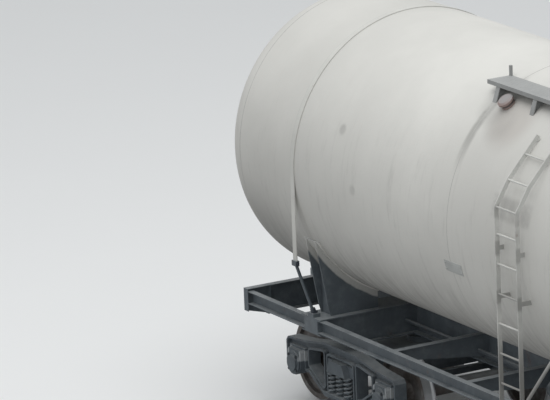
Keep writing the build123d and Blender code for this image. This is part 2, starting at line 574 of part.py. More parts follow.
# Brackets from the tank up to the walkways: a web with a flange down its sloping edge
BRACKET_X, BRACKET_ANGLE, BRACKET_T, BRACKET_FLANGE = 720, 53, 12, 70
with BuildPart() as walkway_brackets:
    low_y, low_z = tank_skin(BRACKET_ANGLE, TANK_R - 5)
    for x in (-BRACKET_X, 0, BRACKET_X):
        for side in (-1, 1):
            web = [(DECK_IN_Y + DECK_T, under), (lip_in, under), (lip_in, DECK_Z - LIP), (low_y, low_z),
                   (DECK_IN_Y + DECK_T, low_z)]
            plate(Plane.YZ.offset(x), on_side(side, web), BRACKET_T / 2)
            edge = [(lip_in, DECK_Z - LIP), (low_y, low_z), (low_y - 12, low_z - 8),
                    (lip_in - 12, DECK_Z - LIP)]
            plate(Plane.YZ.offset(x), on_side(side, edge), BRACKET_FLANGE / 2)
    cut_tank()
hand_in(walkway_brackets, "walkway_brackets")

# Relief valve on the tank's shoulder, beside the walkway: a turned body on a flanged seat
VALVE_X, VALVE_ANGLE = -480, 54.5
with BuildPart() as relief_valve:
    y, z = tank_skin(VALVE_ANGLE, TANK_R - 5)
    out = Vector(0, -y, z - TANK_Z).normalized()
    with BuildSketch(Plane(origin=(VALVE_X, -y, z), x_dir=(1, 0, 0), z_dir=Vector(1, 0, 0).cross(out))):
        Polygon((0, 0), (80, 0), (80, 26), (58, 26), (58, 48), (92, 54), (92, 78), (70, 92), (0, 98),
                align=None)
    revolve(axis=Axis((VALVE_X, -y, z), out))
    cut_tank()
hand_in(relief_valve, "relief_valve")

# Bottom outlet: a turned body through the sill's top plate, with a capped spigot below
SPIGOT_R, SPIGOT_L, SPIGOT_FOOT = 125, 35, SILL_BOTTOM - 65
with BuildPart() as bottom_outlet:
    bar((OUTLET_X, 0, SILL_BOTTOM + 25), (OUTLET_X, 0, SILL_TOP + TANK_CLEAR + 40), 110)
    bar((OUTLET_X, 0, SPIGOT_FOOT + SPIGOT_L), (OUTLET_X, 0, SILL_BOTTOM + 25), 90)
    bar((OUTLET_X, 0, SPIGOT_FOOT), (OUTLET_X, 0, SPIGOT_FOOT + SPIGOT_L), SPIGOT_R)
    cut_tank()
hand_in(bottom_outlet, "bottom_outlet")

# Body centre plates and side bearings over the bogies
PIVOT_R, BEARING_Y, BEARING_HALF = 150, JOURNAL_Y - 256, 55
bearing_top = BOWL_Z + 8
with BuildPart() as centre_plates:
    for end in (-1, 1):
        bar((end * BOGIE_X, 0, BOWL_Z + GAP), (end * BOGIE_X, 0, SILL_BOTTOM), PIVOT_R)
        block((end * BOGIE_X - 190, end * BOGIE_X + 190), (-SILL_Y + SILL_T, SILL_Y - SILL_T),
              (SILL_BOTTOM, SILL_BOTTOM + 165))
hand_in(centre_plates, "centre_plates")

with BuildPart() as side_bearings:
    for end in (-1, 1):
        for side in (-1, 1):
            x, y = end * BOGIE_X, side * BEARING_Y
            block((x - 90, x + 90), (y - BEARING_HALF, y + BEARING_HALF), (bearing_top + SWING_GAP, ARM_Z))
hand_in(side_bearings, "side_bearings")

# Heights in the bogies
seat_z = AXLE_Z - 186
spring_top = AXLE_Z + 64
box_top = AXLE_Z + BOX_RISE
frame_top = AXLE_Z + 353
frame_foot = AXLE_Z - 271
jaw_foot = AXLE_Z - 76

# Cast side frame: its outline from the middle to one end, and the windows beside the bolster's opening
FLANGE_T_CAST, WEB_HALF, CORNER_R, OPENING_HALF, BOLSTER_HALF = 24, 22, 26, 270, 225
jaw_in, jaw_out = HALF_BASE - BOX_HALF, HALF_BASE + BOX_HALF
frame_outline = [(0, frame_top), (330, frame_top), (HALF_BASE - 165, frame_top - 70),
                 (HALF_BASE + 205, frame_top - 100), (HALF_BASE + 245, frame_top - 150),
                 (HALF_BASE + 245, jaw_foot), (jaw_out, jaw_foot), (jaw_out, box_top), (jaw_in, box_top),
                 (jaw_in, jaw_foot), (HALF_BASE - 235, jaw_foot), (360, frame_foot), (0, frame_foot)]
window = [(OPENING_HALF + 80, seat_z + 5), (HALF_BASE - 250, box_top - 142), (HALF_BASE - 250, box_top + 38),
          (OPENING_HALF + 80, frame_top - 110)]
opening = [(-OPENING_HALF, seat_z), (OPENING_HALF, seat_z), (OPENING_HALF, spring_top + 155),
           (-OPENING_HALF, spring_top + 155)]
with BuildSketch() as frame_face:
    Polygon(*both_halves(frame_outline), align=None)
    Polygon(*opening, align=None, mode=Mode.SUBTRACT)
    for turn in (-1, 1):
        Polygon(*[(turn * x, z) for x, z in window], align=None, mode=Mode.SUBTRACT)
    sharp = vertices().filter_by(lambda v: abs(v.Y - box_top) < 1 and jaw_in - 1 < abs(v.X) < jaw_out + 1)
    fillet(vertices() - sharp, CORNER_R)
with BuildSketch() as frame_pockets:
    add(frame_face.sketch_local)
    offset(amount=-FLANGE_T_CAST, kind=Kind.INTERSECTION)

# One coil spring as a solid of revolution, with a groove between turns
SPRING_R, WIRE, TURNS = 58, 28, 6
spring_h = spring_top - seat_z
with BuildPart() as coil:
    with BuildSketch(Plane.XZ):
        pitch = spring_h / TURNS
        ridge = [(r, i * pitch + dz) for i in range(TURNS)
                 for r, dz in ((SPRING_R - 12, 0), (SPRING_R, pitch * 0.3), (SPRING_R, pitch * 0.7))]
        Polygon((0, 0), *ridge, (SPRING_R - 12, spring_h), (0, spring_h), align=None)
    revolve(axis=Axis.Z)

# Bogies, one set of pieces for each
SHOE_T, BEAM_HALF, TRUSS_R = 62, 32, 16
bolster_end = JOURNAL_Y + 137
brake_x = HALF_BASE - TREAD_R - SHOE_GAP - SHOE_T - BEAM_HALF + 6
END_H, WEDGE_H = 135, 125
wedge_foot, wedge_tip = BOLSTER_HALF - 30, BOLSTER_HALF - 90
wedge_top = wedge_foot - (wedge_foot - wedge_tip) * WEDGE_H / END_H
beam_y = WHEEL_IN_Y + 125
for number, bogie_x in ((1, -BOGIE_X), (2, BOGIE_X)):
    with BuildPart() as side_frames:
        for side in (-1, 1):
            middle = lengthwise(side * JOURNAL_Y, bogie_x)
            for face, half, mode in ((frame_face, FRAME_T / 2, Mode.ADD),
                                     (frame_pockets, FRAME_T / 2, Mode.SUBTRACT),
                                     (frame_face, WEB_HALF, Mode.ADD)):
                with BuildSketch(middle):
                    add(face.sketch_local)
                extrude(amount=half, both=True, mode=mode)
            block((bogie_x - OPENING_HALF + 5, bogie_x + OPENING_HALF - 5),
                  (side * (JOURNAL_Y - 135), side * (JOURNAL_Y + 135)), (seat_z - 30, seat_z))
    hand_in(side_frames, f"side_frames_{number}")

    with BuildPart() as bolster:
        half = [(0, BOWL_Z - 34), (JOURNAL_Y - 518, BOWL_Z - 34), (JOURNAL_Y - 148, spring_top + END_H),
                (bolster_end, spring_top + END_H), (bolster_end, spring_top), (JOURNAL_Y - 138, spring_top),
                (JOURNAL_Y - 398, spring_top - 90), (0, spring_top - 90)]
        plate(Plane.YZ.offset(bogie_x), both_halves(half), BOLSTER_HALF)
        bar((bogie_x, 0, BOWL_Z - 40), (bogie_x, 0, BOWL_Z + 28), PIVOT_R + 40)
        bar((bogie_x, 0, BOWL_Z), (bogie_x, 0, BOWL_Z + 100), PIVOT_R + 6, mode=Mode.SUBTRACT)
        for side in (-1, 1):
            y = side * BEARING_Y
            block((bogie_x - 100, bogie_x + 100), (y - 60, y + 60), (spring_top + END_H - 5, bearing_top))
            with BuildSketch(Plane.YZ.offset(bogie_x)):
                with Locations((side * 380, (spring_top - 90 + BOWL_Z - 34) / 2)):
                    SlotOverall(260, 120)
            extrude(amount=BOLSTER_HALF, both=True, mode=Mode.SUBTRACT)
            for turn in (-1, 1):
                relief = [(bogie_x + turn * x, z) for x, z in (
                    (wedge_foot, spring_top), (BOLSTER_HALF + 1, spring_top),
                    (BOLSTER_HALF + 1, spring_top + END_H), (wedge_tip, spring_top + END_H))]
                plate(lengthwise(side * (JOURNAL_Y + 35)), relief, 105, mode=Mode.SUBTRACT)
    hand_in(bolster, f"bogie_bolster_{number}")

    with BuildPart() as wedges:
        for side in (-1, 1):
            for turn in (-1, 1):
                wedge = [(bogie_x + turn * x, z) for x, z in (
                    (wedge_foot, spring_top), (OPENING_HALF, spring_top),
                    (OPENING_HALF, spring_top + WEDGE_H), (wedge_top, spring_top + WEDGE_H))]
                plate(lengthwise(side * JOURNAL_Y), wedge, FRAME_T / 2 - 8)
    hand_in(wedges, f"friction_wedges_{number}")

    with BuildPart() as springs:
        places = [(bogie_x + dx, side * (JOURNAL_Y + dy), seat_z) for side in (-1, 1)
                  for dx in (-165, 0, 165) for dy in (-68, 68)]
        with Locations(*places):
            add(coil.part)
    hand_in(springs, f"spring_groups_{number}")

    with BuildPart() as axle_boxes:
        box_in, box_out = JOURNAL_Y - 128, JOURNAL_Y + 122
        for turn in (-1, 1):
            for side in (-1, 1):
                x = bogie_x + turn * HALF_BASE
                with BuildSketch(lengthwise(side * (box_in + box_out) / 2, x, AXLE_Z)):
                    Circle(BOX_HALF)
                    half = [(BOX_HALF - 30, BOX_RISE), (BOX_HALF, BOX_RISE - 30), (BOX_HALF, 0)]
                    Polygon(*both_halves(half), align=None)
                extrude(amount=(box_out - box_in) / 2, both=True)
                for y0, y1, radius in ((box_out, box_out + 22, BOX_HALF - 8),
                                       (box_out + 22, box_out + 45, BOX_HALF - 48)):
                    bar((x, side * (y0 - 1), AXLE_Z), (x, side * y1, AXLE_Z), radius)
                bar((x, side * (box_in - 10), AXLE_Z), (x, side * (JOURNAL_Y + JOURNAL_HALF + 5), AXLE_Z),
                    JOURNAL_R + GAP, mode=Mode.SUBTRACT)
    hand_in(axle_boxes, f"axle_boxes_{number}")

    with BuildPart() as brake_beams:
        for turn in (-1, 1):
            x = bogie_x + turn * brake_x
            strut = bogie_x + turn * (brake_x - 170)
            block((x - BEAM_HALF, x + BEAM_HALF), (-beam_y, beam_y), (AXLE_Z - 76, AXLE_Z - 6))
            block((min(x, strut), max(x, strut)), (-25, 25), (AXLE_Z - 82, AXLE_Z - 42))
            for side in (-1, 1):
                bar((x, side * (beam_y - 85), AXLE_Z - 60), (strut, 0, AXLE_Z - 60), TRUSS_R)
                bar((x, side * (beam_y - 5), AXLE_Z - 41), (x, side * (JOURNAL_Y - FRAME_T / 2), AXLE_Z - 41),
                    20)
    hand_in(brake_beams, f"brake_beams_{number}")

    with BuildPart() as brake_shoes:
        for turn in (-1, 1):
            axle_x = bogie_x + turn * HALF_BASE
            for side in (-1, 1):
                back = bogie_x + turn * (brake_x + BEAM_HALF)
                head = [(back, AXLE_Z - 120), (back, AXLE_Z + 30), (back + turn * 40, AXLE_Z + 90),
                        (back + turn * 100, AXLE_Z + 120), (back + turn * 130, AXLE_Z - 180),
                        (back + turn * 40, AXLE_Z - 180)]
                plate(lengthwise(side * (WHEEL_IN_Y + 78)), head, 42)
            with Locations((axle_x, 0, AXLE_Z)):
                Cylinder(TREAD_R + SHOE_GAP, 2000, rotation=(90, 0, 0), mode=Mode.SUBTRACT)
    hand_in(brake_shoes, f"brake_shoes_{number}")

# Wheelsets: a turned axle and its two wheels, as half outlines along the axle and out from it
wheel_out_y = WHEEL_IN_Y + RIM_W
journal_end = JOURNAL_Y + JOURNAL_HALF
web_in, web_out = WHEEL_IN_Y + 30, WHEEL_IN_Y + 62
axle_profile = [(0, AXLE_R), (WHEEL_IN_Y - 160, AXLE_R), (WHEEL_IN_Y - 120, SEAT_R),
                (wheel_out_y + 28, SEAT_R), (wheel_out_y + 34, JOURNAL_R), (journal_end, JOURNAL_R),
                (journal_end, 0)]
wheel_profile = [(WHEEL_IN_Y - HUB_OVER, SEAT_R + GAP), (wheel_out_y + HUB_OVER, SEAT_R + GAP),
                 (wheel_out_y + HUB_OVER, HUB_R), (web_in + WEB_T + 6, HUB_R + 14),
                 (web_out + WEB_T, TREAD_R - RIM_T - 10), (wheel_out_y, TREAD_R - RIM_T),
                 (wheel_out_y, TREAD_R - 5), (WHEEL_IN_Y + 38, TREAD_R + 3),
                 (WHEEL_IN_Y + 22, TREAD_R + FLANGE_H), (WHEEL_IN_Y + 6, TREAD_R + FLANGE_H),
                 (WHEEL_IN_Y, TREAD_R + 6), (WHEEL_IN_Y, TREAD_R - RIM_T),
                 (web_out, TREAD_R - RIM_T - 14), (web_in, HUB_R + 14), (WHEEL_IN_Y - HUB_OVER, HUB_R)]
for number, axle_x in ((1, -BOGIE_X - HALF_BASE), (2, -BOGIE_X + HALF_BASE), (3, BOGIE_X - HALF_BASE),
                       (4, BOGIE_X + HALF_BASE)):
    spin = Axis((axle_x, 0, AXLE_Z), (0, 1, 0))
    across = Plane(origin=(axle_x, 0, AXLE_Z), x_dir=(0, 1, 0), z_dir=(1, 0, 0))
    with BuildPart() as axle:
        with BuildSketch(across):
            Polygon(*both_halves(axle_profile), align=None)
        revolve(axis=spin)
    hand_in(axle, f"axle_{number}")

    with BuildPart() as wheels:
        for side in (-1, 1):
            with BuildSketch(across):
                Polygon(*on_side(side, wheel_profile), align=None)
            revolve(axis=spin)
    hand_in(wheels, f"wheels_{number}")
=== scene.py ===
"""Looks of a railway tank car: paints, castings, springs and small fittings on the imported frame."""
from math import cos, pi, radians, sin, sqrt

import bmesh
import bpy
from mathutils import Matrix, Vector


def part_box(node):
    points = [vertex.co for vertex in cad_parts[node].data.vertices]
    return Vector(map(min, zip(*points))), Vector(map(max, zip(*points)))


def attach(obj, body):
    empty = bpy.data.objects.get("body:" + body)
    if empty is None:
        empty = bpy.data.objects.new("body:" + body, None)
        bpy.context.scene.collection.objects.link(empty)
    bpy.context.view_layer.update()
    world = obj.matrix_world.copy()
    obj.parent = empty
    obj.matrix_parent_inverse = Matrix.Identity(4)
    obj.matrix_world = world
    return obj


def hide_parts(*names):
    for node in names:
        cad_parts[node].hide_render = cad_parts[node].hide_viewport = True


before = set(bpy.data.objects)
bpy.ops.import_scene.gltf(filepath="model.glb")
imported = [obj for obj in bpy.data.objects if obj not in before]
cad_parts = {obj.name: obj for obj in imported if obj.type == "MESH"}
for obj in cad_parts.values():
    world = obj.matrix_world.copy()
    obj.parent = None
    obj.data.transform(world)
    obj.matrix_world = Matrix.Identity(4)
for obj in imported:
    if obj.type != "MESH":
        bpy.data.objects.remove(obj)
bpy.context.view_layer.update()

bl_info = {
    "name": "Railway Tank Car",
    "version": (1, 0, 0),
    "blender": (4, 5, 0),
    "location": "3D View > Sidebar > Tank Car",
    "description": "Paints and fits out a railway tank car on its packed frame",
    "category": "Object",
}

# Places worked out from the frame, in metres
barrel_low, barrel_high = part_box("tank_barrel")
TANK_R = (barrel_high.z - barrel_low.z) / 2
TANK_Z = (barrel_high.z + barrel_low.z) / 2
TANGENT_X = barrel_high.x

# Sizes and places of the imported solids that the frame's boxes don't give, in metres
BOGIE_X = 3.9           # centre of a bogie and of the strap over it, from the middle of the car
HALF_BASE = 0.925       # axle from the centre of its bogie
FLANGE_H = 0.028        # wheel flange beyond the tread
SEAM_X = -0.70          # ring seam between the barrel's plates
NECK_R = 0.300          # outside of the manway neck
LID_R = 0.345           # edge of the manway lid
BOGIES = {1: (1, 2), 2: (3, 4)}     # the wheelsets of each bogie
WHEELSETS = BOGIES[1] + BOGIES[2]

SENSOR_MM = 36
VIEW_DEPTH = 600        # how far the camera sees, in metres
FLOOR_HALF = 400        # half the floor's side, in metres


def middle_of(node):
    """The middle of a CAD node's box."""
    low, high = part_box(node)
    return (low + high) / 2


# Node materials

class Finish:
    """A node material that is being built, with short calls for the nodes that it needs."""

    def __init__(self, name, metallic=0.0, specular=0.5):
        self.material = bpy.data.materials.new(name)
        self.material.use_nodes = True
        self.tree = self.material.node_tree
        self.shader = self.tree.nodes["Principled BSDF"]
        self.shader.inputs["Metallic"].default_value = metallic
        self.shader.inputs["Specular IOR Level"].default_value = specular
        self.at = self.tree.nodes.new("ShaderNodeTexCoord").outputs["Object"]

    def fill(self, node, socket, value):
        """Link a socket, or set a number or colour, on one input of a node."""
        if isinstance(value, bpy.types.NodeSocket):
            self.tree.links.new(value, node.inputs[socket])
        elif value is not None:
            node.inputs[socket].default_value = value

    def stretched(self, scale):
        """The object's own coordinates, scaled along X, Y and Z."""
        node = self.tree.nodes.new("ShaderNodeMapping")
        node.inputs["Scale"].default_value = scale
        self.fill(node, "Vector", self.at)
        return node.outputs["Vector"]

    def part_of(self, vector, axis):
        """X, Y or Z of a vector."""
        node = self.tree.nodes.new("ShaderNodeSeparateXYZ")
        self.fill(node, 0, vector)
        return node.outputs[axis]

    def noise(self, scale, detail, rough=0.6, stretch=None):
        """Cloudy variation from 0 to 1."""
        node = self.tree.nodes.new("ShaderNodeTexNoise")
        node.inputs["Scale"].default_value = scale
        node.inputs["Detail"].default_value = detail
        node.inputs["Roughness"].default_value = rough
        self.fill(node, "Vector", self.stretched(stretch) if stretch else self.at)
        return node.outputs["Fac"]

    def math(self, kind, first, second=None):
        """One arithmetic step."""
        node = self.tree.nodes.new("ShaderNodeMath")
        node.operation = kind
        for socket, value in enumerate((first, second)):
            self.fill(node, socket, value)
        return node.outputs[0]

    def fade(self, value, low, high):
        """0 below low, 1 above high, and smooth between them."""
        node = self.tree.nodes.new("ShaderNodeMapRange")
        node.interpolation_type = "SMOOTHSTEP"
        node.inputs["From Min"].default_value = min(low, high)
        node.inputs["From Max"].default_value = max(low, high)
        node.inputs["To Min"].default_value = 0.0 if low < high else 1.0
        node.inputs["To Max"].default_value = 1.0 if low < high else 0.0
        self.fill(node, "Value", value)
        return node.outputs[0]

    def mix(self, share, first, second):
        """Blend two colours by a share from 0 to 1."""
        node = self.tree.nodes.new("ShaderNodeMix")
        node.data_type = "RGBA"
        self.fill(node, 0, share)
        self.fill(node, 6, first)
        self.fill(node, 7, second)
        return node.outputs[2]

    def spot(self, centre, radius):
        """1 near a point of the row frame, fading to 0 at the radius."""
        node = self.tree.nodes.new("ShaderNodeVectorMath")
        node.operation = "DISTANCE"
        self.fill(node, 0, self.at)
        node.inputs[1].default_value = centre
        return self.fade(node.outputs["Value"], radius, radius * 0.35)

    def band(self, value, centre, half, edge):
        """1 within half of a value, and 0 beyond a soft edge."""
        away = self.math("ABSOLUTE", self.math("SUBTRACT", value, centre))
        return self.fade(away, half + edge, half)

    def times(self, *masks):
        """The product of several masks."""
        product = masks[0]
        for mask in masks[1:]:
            product = self.math("MULTIPLY", product, mask)
        return product

    def upward(self):
        """1 on faces that look up and 0 on the rest."""
        node = self.tree.nodes.new("ShaderNodeNewGeometry")
        return self.fade(self.part_of(node.outputs["Normal"], "Z"), 0.25, 0.9)

    def rough(self, value, low, high):
        """Roughness between two values, driven by a variation."""
        node = self.tree.nodes.new("ShaderNodeMapRange")
        node.inputs["To Min"].default_value = low
        node.inputs["To Max"].default_value = high
        self.fill(node, "Value", value)
        self.fill(self.shader, "Roughness", node.outputs[0])

    def raised(self, height, depth):
        """Fine relief, depth in metres."""
        node = self.tree.nodes.new("ShaderNodeBump")
        node.inputs["Strength"].default_value = 1.0
        node.inputs["Distance"].default_value = depth
        self.fill(node, "Height", height)
        self.fill(self.shader, "Normal", node.outputs["Normal"])

    def colour(self, value):
        """The colour of the surface."""
        self.fill(self.shader, "Base Color", value)


def tone(colour, factor):
    """A lighter or darker version of a colour, with alpha."""
    return tuple(c * factor for c in colour[:3]) + (1.0,)


def weathered(name, paint, dust, rust, roughness=(0.45, 0.75), grain=0.0015, rusty=0.7, layers=None):
    """Paint on steel with uneven tone, road dust on what looks up that also paints the tops lighter as
    painted light, and rust in blotches.
    """
    finish = Finish(name)
    cloud = finish.noise(1.7, 6, 0.62)
    fine = finish.noise(38, 5, 0.65)
    base = finish.mix(finish.fade(cloud, 0.3, 0.75), tone(paint, 0.80), tone(paint, 1.20))
    patches = finish.fade(finish.noise(4.5, 8, 0.7), 0.6, 0.72)
    base = finish.mix(finish.times(patches, rusty), base, rust)
    film = finish.fade(finish.noise(6.3, 7, 0.7), 0.42, 0.75)
    base = finish.mix(finish.times(film, 0.22), base, dust)
    # dust on faces that look up, which also stands for painted light on the tops
    dust_and_top_light = finish.times(finish.upward(), finish.fade(finish.noise(3.1, 6, 0.7), 0.15, 0.6))
    base = finish.mix(finish.times(dust_and_top_light, 0.85), base, dust)
    if layers:
        base = layers(finish, base)
    finish.colour(finish.mix(finish.times(fine, 0.3), base, tone(paint, 0.6)))
    finish.rough(cloud, *roughness)
    finish.raised(finish.math("ADD", fine, patches), grain)
    return finish.material


def tank_paint(settings):
    """Warm white tank paint with rain streaks, a dirty seam and old marks, and painted shade towards the
    belly and low on the far head, mixed there with splashed dirt.
    """
    finish = Finish("tank_paint", specular=0.4)
    white, grime_and_shade, rust, dirt = (settings.tank_colour, settings.grime_and_shade_colour, settings.rust_colour,
                                settings.dirt)
    x, y, z = (finish.part_of(finish.at, axis) for axis in "XYZ")
    cloud = finish.noise(0.9, 5, 0.55)
    streaks = finish.noise(5.0, 6, 0.7, (2.4, 0.35, 0.35))
    fine = finish.noise(60, 4, 0.6)
    wavy = finish.fade(finish.noise(3.5, 4, 0.6), 0.3, 0.6)
    shown = finish.fade(y, -0.4, -0.8)
    base = finish.mix(finish.fade(cloud, 0.3, 0.75), tone(white, 0.93), tone(white, 1.03))
    layers = [
        # rain streaks
        (finish.times(finish.fade(streaks, 0.52, 0.8), finish.fade(z, 4.4, 3.0)), 0.20, grime_and_shade),
        # painted shade that slowly darkens the tank towards the belly, and low down splashed dirt in
        # streaks that deepens this painted shade
        (finish.fade(z, 3.9, 1.6), 0.10, grime_and_shade),
        (finish.times(finish.fade(z, 2.5, 1.4), finish.fade(streaks, 0.2, 0.7)), 0.58, grime_and_shade),
        # darker towards the far end; low down beyond the strap, on the far head, painted shade with some
        # dirt
        (finish.fade(x, -2.4, -5.6), 0.12, grime_and_shade),
        (finish.times(finish.fade(x, -BOGIE_X, -4.9), finish.fade(z, 2.9, 2.0)), 0.42, grime_and_shade),
        # the seam between two plates, and a darker patch behind the ladder's knee
        (finish.times(finish.band(x, SEAM_X, 0.03, 0.06), wavy, finish.fade(z, 3.5, 4.0), shown),
         0.42, grime_and_shade),
        (finish.times(finish.band(x, 0.47, 0.34, 0.08), finish.band(z, 3.41, 0.08, 0.07), wavy, shown),
         0.30, grime_and_shade)]
    marks = (
        ((-0.20, -1.06, 4.16), 0.46, rust, 0.22),       # beside the relief valve
        ((0.30, -1.28, 3.93), 1.60, grime_and_shade, 0.16),       # wide and faint, below the walkway
        ((-3.00, -1.47, 3.59), 0.085, grime_and_shade, 0.42),     # two small ones on the far half
        ((-2.63, -1.60, 3.01), 0.08, grime_and_shade, 0.25),
        ((-0.62, -0.95, 4.22), 0.35, grime_and_shade, 0.22),      # round the relief valve's foot
        ((-0.35, -1.10, 4.10), 0.30, grime_and_shade, 0.14))      # just below it
    for centre, radius, colour, share in marks:
        spot = finish.times(finish.spot(centre, radius), finish.fade(cloud, 0.1, 0.6))
        layers.append((spot, share, colour))
    # every layer, dirt and painted shade alike, scaled by the dirt setting
    for mask, share, colour in layers:
        base = finish.mix(finish.times(mask, share * dirt), base, colour)
    finish.colour(finish.mix(finish.times(fine, 0.08), base, tone(white, 0.6)))
    finish.rough(finish.math("ADD", streaks, fine), 0.34, 0.62)
    finish.raised(finish.math("ADD", finish.times(cloud, 4.0), fine), 0.0012)
    return finish.material


def strap_paint(settings):
    """Strap steel in white, darker low down and at its edges, with rust in spots."""
    finish = Finish("strap_paint", specular=0.4)
    x, z = finish.part_of(finish.at, "X"), finish.part_of(finish.at, "Z")
    wear = finish.noise(14, 6, 0.7)
    cloud = finish.noise(1.1, 5, 0.6)
    from_strap = finish.math("SUBTRACT", finish.math("ABSOLUTE", x), BOGIE_X)
    edge = finish.fade(finish.math("ABSOLUTE", from_strap), 0.030, 0.041)
    base = finish.mix(finish.fade(cloud, 0.3, 0.7), tone(settings.strap_colour, 0.9),
                      tone(settings.strap_colour, 1.06))
    base = finish.mix(finish.times(finish.fade(z, 2.6, 1.9), 0.15), base, settings.grime_and_shade_colour)
    base = finish.mix(finish.times(edge, wear, 0.30), base, settings.grime_and_shade_colour)
    finish.colour(finish.mix(finish.times(finish.fade(wear, 0.60, 0.75), 0.6), base, settings.rust_colour))
    finish.rough(wear, 0.4, 0.8)
    finish.raised(wear, 0.001)
    return finish.material


def stay_dirt_and_low_shade(settings):
    """A layer for the ladders: grime where the stays meet the rails, a darker band at the knee, and painted
    shade with dirt over the lower ends below the tank's belly.
    """
    stays_and_knee = ((3.07, 0.40), (2.55, 0.45), (1.24, 0.35), (3.46, 0.25))

    def layer(finish, base):
        z = finish.part_of(finish.at, "Z")
        ragged = finish.math("ADD", z, finish.times(finish.noise(12, 5, 0.6), 0.08))
        for height, share in stays_and_knee:
            base = finish.mix(finish.times(finish.band(ragged, height, 0.05, 0.05), share), base,
                              settings.grime_and_shade_colour)
        # the lower ends: painted shade below the tank's belly, with dirt
        return finish.mix(finish.times(finish.fade(ragged, 2.3, 1.8), 0.66), base, settings.grime_and_shade_colour)
    return layer


def jaw_highlights(settings):
    """A layer for side frames and axle boxes: pale patches where box and jaw meet, a painted highlight
    where the jaws catch the light.
    """
    jaw_out, jaw_z = 0.150, 0.605

    def layer(finish, base):
        x, z = finish.part_of(finish.at, "X"), finish.part_of(finish.at, "Z")
        from_bogie = finish.math("SUBTRACT", finish.math("ABSOLUTE", x), BOGIE_X)
        from_axle = finish.math("SUBTRACT", finish.math("ABSOLUTE", from_bogie), HALF_BASE)
        jaw = finish.band(finish.math("ABSOLUTE", from_axle), jaw_out, 0.035, 0.012)
        patchy = finish.fade(finish.noise(17, 6, 0.7), 0.2, 0.4)
        lit = finish.times(jaw, finish.band(z, jaw_z, 0.05, 0.02), patchy)
        # painted highlight on the jaws
        return finish.mix(finish.times(lit, 0.85), base, settings.jaw_highlight_colour)
    return layer


def overspray(settings):
    """A layer for the saddles: the tank's paint on their upper edges."""
    foot_r, full_r = TANK_R + 0.105, TANK_R + 0.080

    def layer(finish, base):
        y = finish.part_of(finish.at, "Y")
        up = finish.math("SUBTRACT", finish.part_of(finish.at, "Z"), TANK_Z)
        radius = finish.math("SQRT", finish.math("ADD", finish.times(y, y), finish.times(up, up)))
        ragged = finish.math("ADD", radius, finish.times(finish.noise(9, 5, 0.6), 0.03))
        return finish.mix(finish.times(finish.fade(ragged, foot_r, full_r), 0.85), base,
                          tone(settings.tank_colour, 0.9))
    return layer


def wheel_steel(settings, name, axle_x, axle_z, tread):
    """Rolled wheel steel: brown oxide on the web, bright where it runs on rail and shoe."""
    finish = Finish(name, metallic=0.35)
    x, z = finish.part_of(finish.at, "X"), finish.part_of(finish.at, "Z")
    dx, dz = finish.math("SUBTRACT", x, axle_x), finish.math("SUBTRACT", z, axle_z)
    radius = finish.math("SQRT", finish.math("ADD", finish.times(dx, dx), finish.times(dz, dz)))
    rust = finish.noise(22, 7, 0.7)
    base = finish.mix(finish.fade(rust, 0.35, 0.7), tone(settings.oxide_colour, 0.75),
                      settings.oxide_colour)
    dusty = finish.fade(finish.noise(5.5, 6, 0.65), 0.4, 0.75)
    base = finish.mix(finish.times(dusty, 0.35), base, settings.dust_colour)
    bright = finish.fade(radius, tread - 0.012, tread - 0.002)
    finish.colour(finish.mix(bright, base, settings.steel_colour))
    finish.rough(finish.math("SUBTRACT", rust, finish.times(bright, 0.6)), 0.3, 0.8)
    finish.raised(rust, 0.0012)
    return finish.material


# Mesh building

def new_piece(name, bm, body, material, smooth=True):
    """Turn a bmesh into a piece that rides on a body and takes a material slot."""
    mesh = bpy.data.meshes.new(name)
    bm.to_mesh(mesh)
    bm.free()
    for face in mesh.polygons:
        face.use_smooth = smooth
    piece = bpy.data.objects.new(name, mesh)
    bpy.context.scene.collection.objects.link(piece)
    piece.data.materials.append(material)
    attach(piece, body)
    return piece


def tube(bm, points, radius, sides):
    """Round bar through a list of points, with flat ends."""
    rings = []
    across = None
    for i, point in enumerate(points):
        along = (points[min(i + 1, len(points) - 1)] - points[max(i - 1, 0)]).normalized()
        if across is None:
            across = along.orthogonal().normalized()
        across = (across - along * across.dot(along)).normalized()
        side = along.cross(across)
        turns = [2 * pi * k / sides for k in range(sides)]
        rings.append([bm.verts.new(point + (across * cos(a) + side * sin(a)) * radius) for a in turns])
    for a, b in zip(rings, rings[1:]):
        for k in range(sides):
            bm.faces.new((a[k], a[(k + 1) % sides], b[(k + 1) % sides], b[k]))
    bm.faces.new(reversed(rings[0]))
    bm.faces.new(rings[-1])


def disc(bm, base, axis, radius, height, sides, top=None):
    """Short round or six-sided body that stands on a point along an axis."""
    turn = axis.to_track_quat("Z", "Y").to_matrix().to_4x4()
    place = Matrix.Translation(base + axis.normalized() * height / 2) @ turn
    bmesh.ops.create_cone(bm, cap_ends=True, segments=sides, radius1=radius, depth=height, matrix=place,
                          radius2=radius if top is None else top)


def bolt(bm, base, axis, size):
    """Washer and six-sided head, on a face that looks along the axis."""
    axis = axis.normalized()
    disc(bm, base, axis, size * 1.35, size * 0.22, 14)
    disc(bm, base + axis * size * 0.2, axis, size, size * 0.75, 6)


def paint_nodes(names, material):
    """Give CAD nodes a material."""
    for name in names:
        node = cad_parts[name]
        node.data.materials.clear()
        node.data.materials.append(material)


def on_tank(x, angle, out):
    """A point on the tank's round, at an angle in degrees from +Y towards the top."""
    a = radians(angle)
    return Vector((x, (TANK_R + out) * cos(a), TANK_Z + (TANK_R + out) * sin(a)))


def bead(bm, rings):
    """Weld bead from a list of cross-sections, closed on itself."""
    rows = [[bm.verts.new(point) for point in ring] for ring in rings]
    for a, b in zip(rows, rows[1:] + rows[:1]):
        for k in range(len(a) - 1):
            bm.faces.new((a[k], a[k + 1], b[k + 1], b[k]))


